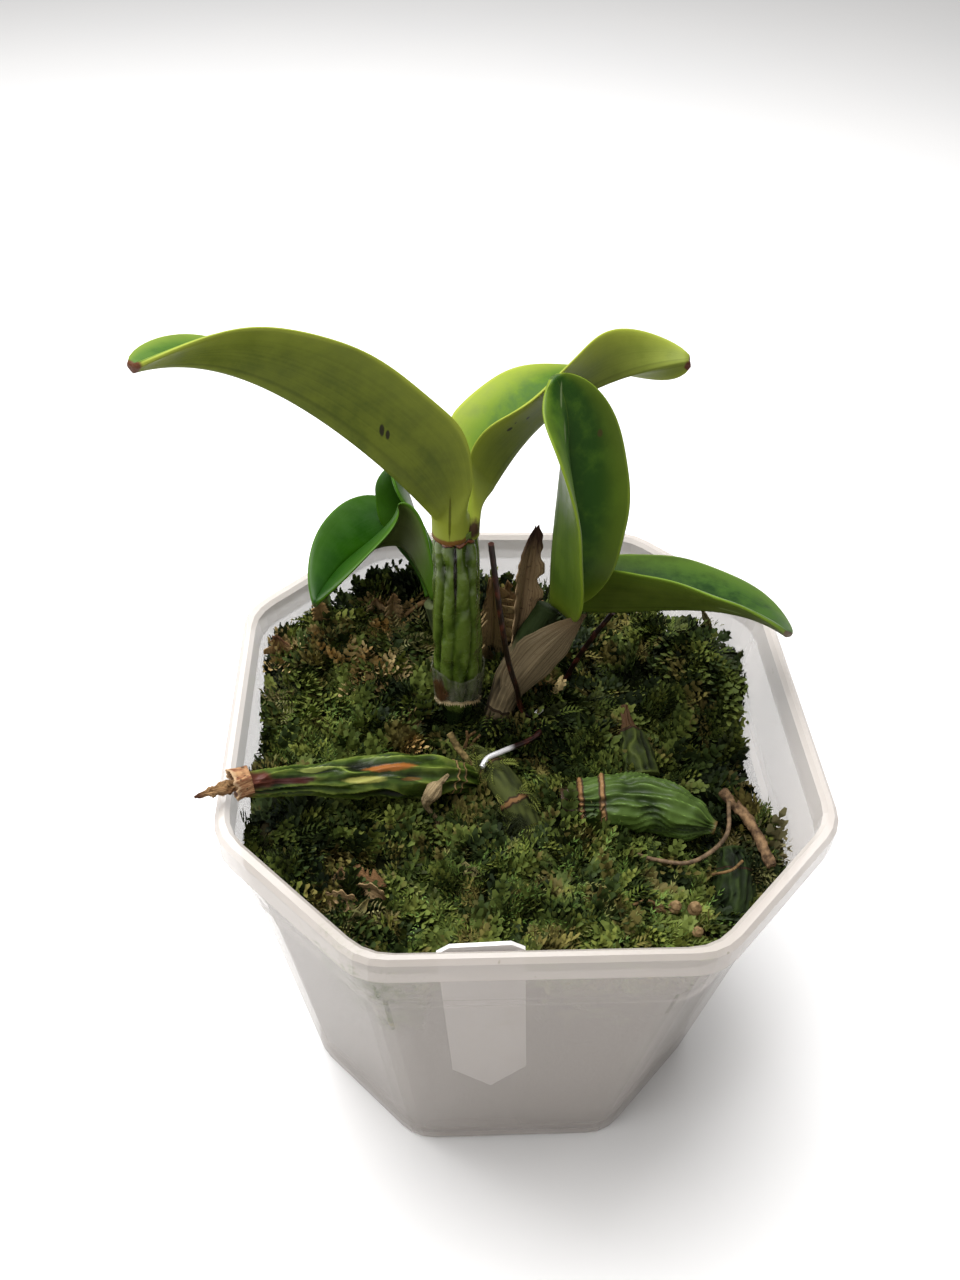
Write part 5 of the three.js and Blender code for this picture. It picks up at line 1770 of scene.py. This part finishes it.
# %% The fringe
TEETH = 150
TOOTH = {"length": 1.0, "half": 0.2, "rise": 0.35, "thickness": 0.18}


def fringe():
    """Short pale splinters that hang from the lower edge of the sleeve, each with four corners."""
    points, faces = [], []
    low = sleeve_row(0, 0)
    for k in range(TEETH):
        here = k / TEETH * len(low)
        i = int(here)
        step = low[(i + 1) % len(low)] - low[i]
        root = low[i] + step * (here - i)
        around = step / np.linalg.norm(step)
        outward = np.cross(around, (0, 0, 1.0))
        size = TOOTH["length"] * (0.35 + 1.8 * abs(noise.noise(Vector((0.37 * k, 1.7, 0)))))
        lean = noise.noise(Vector((0.9 * k, 5.1, 0)))
        tip = root + np.array([0, 0, -size * 0.6]) + around * lean * 0.5 + outward * 0.25 * size
        crown = root + np.array([0, 0, TOOTH["rise"]])
        half = around * TOOTH["half"]
        n = len(points)
        points.extend([crown - half, crown + half, crown - outward * TOOTH["thickness"], tip])
        faces.extend([(n, n + 3, n + 1), (n + 1, n + 3, n + 2), (n + 2, n + 3, n), (n, n + 1, n + 2)])
    return mesh_of("sheath_main_fringe", points, faces, smooth=False)


fringe_finish = bark_finish("fringe_finish", (164, 142, 104), (206, 190, 154), rough=0.8)
add_piece("sheath_main_fringe", fringe(), "dry_sheath", fringe_finish)

# %% The dried bud and the withered end
BUD = {
    "path": [
        (-12.7, -9, 74.6), (-15.2, -12.8, 74.8), (-16.5, -13.2, 72), (-14.6, -13.8, 68), (-14.8, -16, 66),
    ],
    "radii": (0.35, 0.5, 1.5, 1, 0.45, 0.4, 0.4, 0.35), "ridges": 6, "valley": 0.25, "dents": 0.35,
    "dent_run": 12,
}
END = (-46.2, -18.6, 84.4)
OUTWARD = (-0.92, -0.39, 0.02)
WITHERED = {
    "path": [tuple(e + d * o for e, o in zip(END, OUTWARD)) for d in (-1.0, 0.4, 2.2, 4.2, 7.0)],
    "radii": (1.6, 1.7, 0.9, 1.3, 1.2, 0.8, 0.95, 0.5, 0.4, 0.15), "ridges": 5, "valley": 0.4, "dents": 0.7,
    "dent_run": 9,
}


def dried_stalk(spec, sides, steps, seed):
    """A small stalk with the share across that the finish of a husk reads."""
    rings, values = wrinkled(spec, sides, steps, seed)
    values["across"] = np.sin(values["angle"])
    return loft(rings, values)


bud_mesh = mesh_of("dried_bud_skin", *dried_stalk(BUD, sides=40, steps=120, seed=4.0))
bud_skin = husk_finish("bud_finish", (112, 94, 66), (168, 148, 112), (112, 92, 64), specks=0.3)
add_piece("dried_bud_skin", bud_mesh, "dry_scrap", bud_skin, "dried_bud")
end_mesh = mesh_of("withered_end", *dried_stalk(WITHERED, sides=48, steps=110, seed=7.0))
end_skin = husk_finish("withered_finish", (104, 68, 40), (164, 132, 90), (80, 48, 30), specks=0.8)
add_piece("withered_end", end_mesh, "pseudobulb", end_skin)

# %% [markdown]
# The foot of the withered shoot keeps a ring of torn sheath: a short cup round the end of the
# pseudobulb, open towards the tip, with a jagged rim.

# %% The torn cup
CUP = {"from": -2.0, "to": 0.9, "radius": 2.3, "flare": 0.35, "thickness": 0.3, "jagged": 0.9}
CUP_SIDES = 96


def cup_row(share, skin):
    """A ring of the cup, whose open end goes in and out."""
    ahead = np.array(OUTWARD) / np.linalg.norm(OUTWARD)
    across = np.cross(ahead, (0, 0, 1.0))
    across /= np.linalg.norm(across)
    beside = np.cross(ahead, across)
    angle = turns(CUP_SIDES)
    c, s = np.cos(angle), np.sin(angle)
    tear = np.array([knots(a, b, 1.9, 4.0) + 0.5 * knots(a, b, 7, 1.0) for a, b in zip(c, s)])
    run = CUP["from"] + (CUP["to"] - CUP["from"] + CUP["jagged"] * tear) * share
    radius = CUP["radius"] + CUP["flare"] * share**2 - skin * CUP["thickness"]
    radius = radius + 0.14 * np.sin(6 * angle + 2) + 0.1 * np.sin(11 * angle)
    out = across * c[:, None] + beside * s[:, None]
    return np.array(END) + ahead * run[:, None] + out * radius[:, None]


cup_mesh = mesh_of("torn_cup", *two_skins(cup_row, steps=12))
cup_skin = husk_finish("cup_finish", (112, 64, 42), (176, 136, 96), (180, 150, 116), specks=0.9)
add_piece("torn_cup", cup_mesh, "dry_sheath", cup_skin)

# %% [markdown]
# ## Litter on the moss
# Scraps of dry leaf, a bent stalk, small brown pods and a few loose roots lie on the moss. The scraps are
# husks with their own paths, the roots and stalks are tubes, and the pods small wrinkled lofts. They are
# joined by their finish, so that each finish makes one piece.

# %% The measures of the litter
# A scrap is its path, mouth, half width, raggedness and pace.
SCRAPS = {
    "tan": [
        ([(-31.0, -29.4, 69), (-30.6, -28.4, 72), (-30, -27.6, 74.6)], (180, 20), 1.1, 0.7, 14),
        ([(-33.2, -30.6, 70), (-30.6, -31.6, 72.4), (-27, -32.2, 70.6)], (180, 50), 2.0, 0.5, 12),
        ([(-27.4, -29.4, 70.6), (-25, -29.8, 73.2), (-23, -31.4, 70.4)], (180, 40), 1.9, 0.6, 12),
        ([(-25.4, 33.4, 73), (-26, 33, 76.4), (-25.6, 32.4, 79)], (180, 10), 1.7, 0.9, 20),
        ([(-22, 32, 72.5), (-22.8, 31.6, 77), (-22.2, 31, 81.4)], (170, 10), 1.7, 0.9, 26),
        ([(6.0, 14.8, 72.6), (6.4, 14.4, 75), (5.8, 14.2, 78)], (180, 0), 1.1, 0.7, 14),
        ([(-2.2, 23.4, 70), (-0.6, 23.8, 80), (-1.2, 23.6, 91)], (165, 10), 2.4, 0.9, 30),
        ([(4.2, 24, 70), (5.8, 24, 78), (5.6, 23.6, 86)], (190, 10), 2.6, 0.9, 26),
        ([(-45.6, 23.6, 69), (-44.6, 23.4, 73), (-43.6, 23, 76.4)], (200, 30), 1.3, 0.7, 16),
    ],
    "olive": [
        ([(-28.8, -36.6, 67.6), (-28.6, -35, 70.6), (-25.6, -31.6, 71.8)], (150, 60), 1.1, 0.3, 8),
        ([(-42.6, 12.6, 70.6), (-41.8, 12.2, 73.6), (-40.2, 11.4, 74.6)], (180, 50), 1.1, 0.3, 8),
        ([(41.2, 29.6, 69), (40.4, 30.6, 74), (38.2, 31, 77)], (190, 20), 0.8, 0.3, 8),
        ([(-16, 22, 72), (-13, 20, 74.6), (-9.6, 17.6, 74)], (180, 50), 1.0, 0.3, 8),
        ([(-12, -24, 67.4), (-9.6, -24.4, 70.4), (-7, -26.6, 68.6)], (180, 70), 1.2, 0.5, 8),
    ],
}
# A twiglet is its path and its radius.
TWIGLETS = [
    ([(-13.4, 31.6, 74.8), (-16, 32.4, 77.6), (-20, 31.4, 75.4)], 0.55),
    ([(37, -22.6, 67.2), (34.6, -24.6, 67.4), (31.6, -24.4, 66)], 0.15),
    ([(-9.4, 3.0, 68), (-8.4, 3.6, 70.4), (-7.4, 3.2, 72)], 0.09),
    ([(-9.0, 2.6, 68), (-8.8, 3.4, 70.2), (-8.9, 3.8, 71.6)], 0.08),
    ([(-8.6, 2.8, 68), (-7.4, 3.2, 69.6), (-6.4, 3.8, 70.6)], 0.09),
    ([(-8.2, 2.2, 67.8), (-7.6, 2.8, 70), (-6.9, 2.6, 71.2)], 0.07),
    ([(16, -31.4, 67), (19.6, -30.6, 67.8), (22.4, -31.8, 66.4)], 0.3),
]
# A pod is its place and its size.
PODS = [(21.5, -31, 66.2, 0.9), (24.2, -31, 66.4, 1.1), (27.2, -31.8, 67.0, 1.2), (26.8, -36.4, 67.4, 0.9)]
print("scraps:", sum(len(found) for found in SCRAPS.values()), "twiglets:", len(TWIGLETS), "pods:", len(PODS))


# %% Scatter the litter
def add_joined(name, shapes, slot, finish):
    """One piece from several meshes' points, faces and values."""
    points, faces, values = [], [], {}
    for shape_points, shape_faces, shape_values in shapes:
        shift = len(points)
        points.extend(shape_points)
        faces.extend(tuple(i + shift for i in face) for face in shape_faces)
        for key, column in shape_values.items():
            values.setdefault(key, []).extend(column)
    add_piece(name, mesh_of(name, points, faces, values), slot, finish)


def scrap(number, path, mouth, half_width, ragged, pace):
    spec = {
        "path": path, "mouth": mouth, "folds": (40, 30, 35), "half_width": half_width, "neck": 0.45,
        "widest": 0.5, "tip": 0.7, "ragged": ragged, "fray": 0.8, "pace": pace,
    }
    return loft(*husk(spec, along=30, middle=0.35, edge=0.2, seed=1.7 * number))


def pod(number, x, y, z, size):
    spec = {
        "path": [(x - 0.2, y, z - size), (x, y, z + 0.2), (x + 0.2, y - 0.1, z + 1.3 * size)],
        "radii": (0.4 * size, size, 0.9 * size, 0.25), "ridges": 5, "valley": 0.15, "dents": 0.2,
        "dent_run": 3,
    }
    return loft(*wrinkled(spec, sides=24, steps=26, seed=3.0 * number))


def twiglet(number, path, radius):
    spec = {
        "path": path, "radii": (radius, radius, 0.7 * radius), "ridges": 3, "valley": 0.05,
        "dents": 0.3 * radius, "dent_run": 9,
    }
    return loft(*wrinkled(spec, sides=12, steps=40, seed=2.0 * number))


def all_of(make, items):
    return [make(number, *item) for number, item in enumerate(items)]


tan = husk_finish("tan_scraps_finish", (116, 92, 60), (172, 146, 106), (134, 104, 70))
olive = husk_finish("olive_scraps_finish", (92, 88, 48), (142, 134, 88), (112, 100, 56), specks=0.3)
add_joined("litter_tan", all_of(scrap, SCRAPS["tan"]), "dry_scrap", tan)
add_joined("litter_olive", all_of(scrap, SCRAPS["olive"]), "dry_scrap", olive)
pod_bark = bark_finish("pod_finish", (96, 76, 48), (148, 122, 86), rough=0.7)
add_joined("pods", all_of(pod, PODS), "dry_scrap", pod_bark)
twiglet_bark = bark_finish("twiglet_finish", (70, 52, 30), (128, 100, 64))
add_joined("twiglets", all_of(twiglet, TWIGLETS), "dry_wood", twiglet_bark)

# %% [markdown] ## The table and the sizes The plant stands on a plain pale table.

# %% The table
TABLE_SIZE = 6000
TABLE_DROP = 0.05


def table_finish():
    table = Recipe("table_paint", Roughness=0.55, Specular_IOR_Level=0.3)
    cloud = table.noise(table.place(), 6.0, detail=3)
    table.set(Base_Color=table.mix(cloud, (242, 242, 243), (248, 247, 246)))
    return table.material


half_table = TABLE_SIZE / 2
corners = [(half_table * x, half_table * y, -TABLE_DROP) for x, y in ((-1, -1), (1, -1), (1, 1), (-1, 1))]
table = placed("table", mesh_of("table", corners, [(0, 1, 2, 3)]))
table.data.materials.append(table_finish())
table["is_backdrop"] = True
print("table of", TABLE_SIZE, "mm")

# %% The sizes, and the end
made_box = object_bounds()
sizes = {
    "cad_low": list(cad_box[0]),
    "cad_high": list(cad_box[1]),
    "visual_low": list(made_box[0]),
    "visual_high": list(made_box[1]),
}
for corner_name, corner in sizes.items():
    print(corner_name, [round(c / MM, 1) for c in corner])
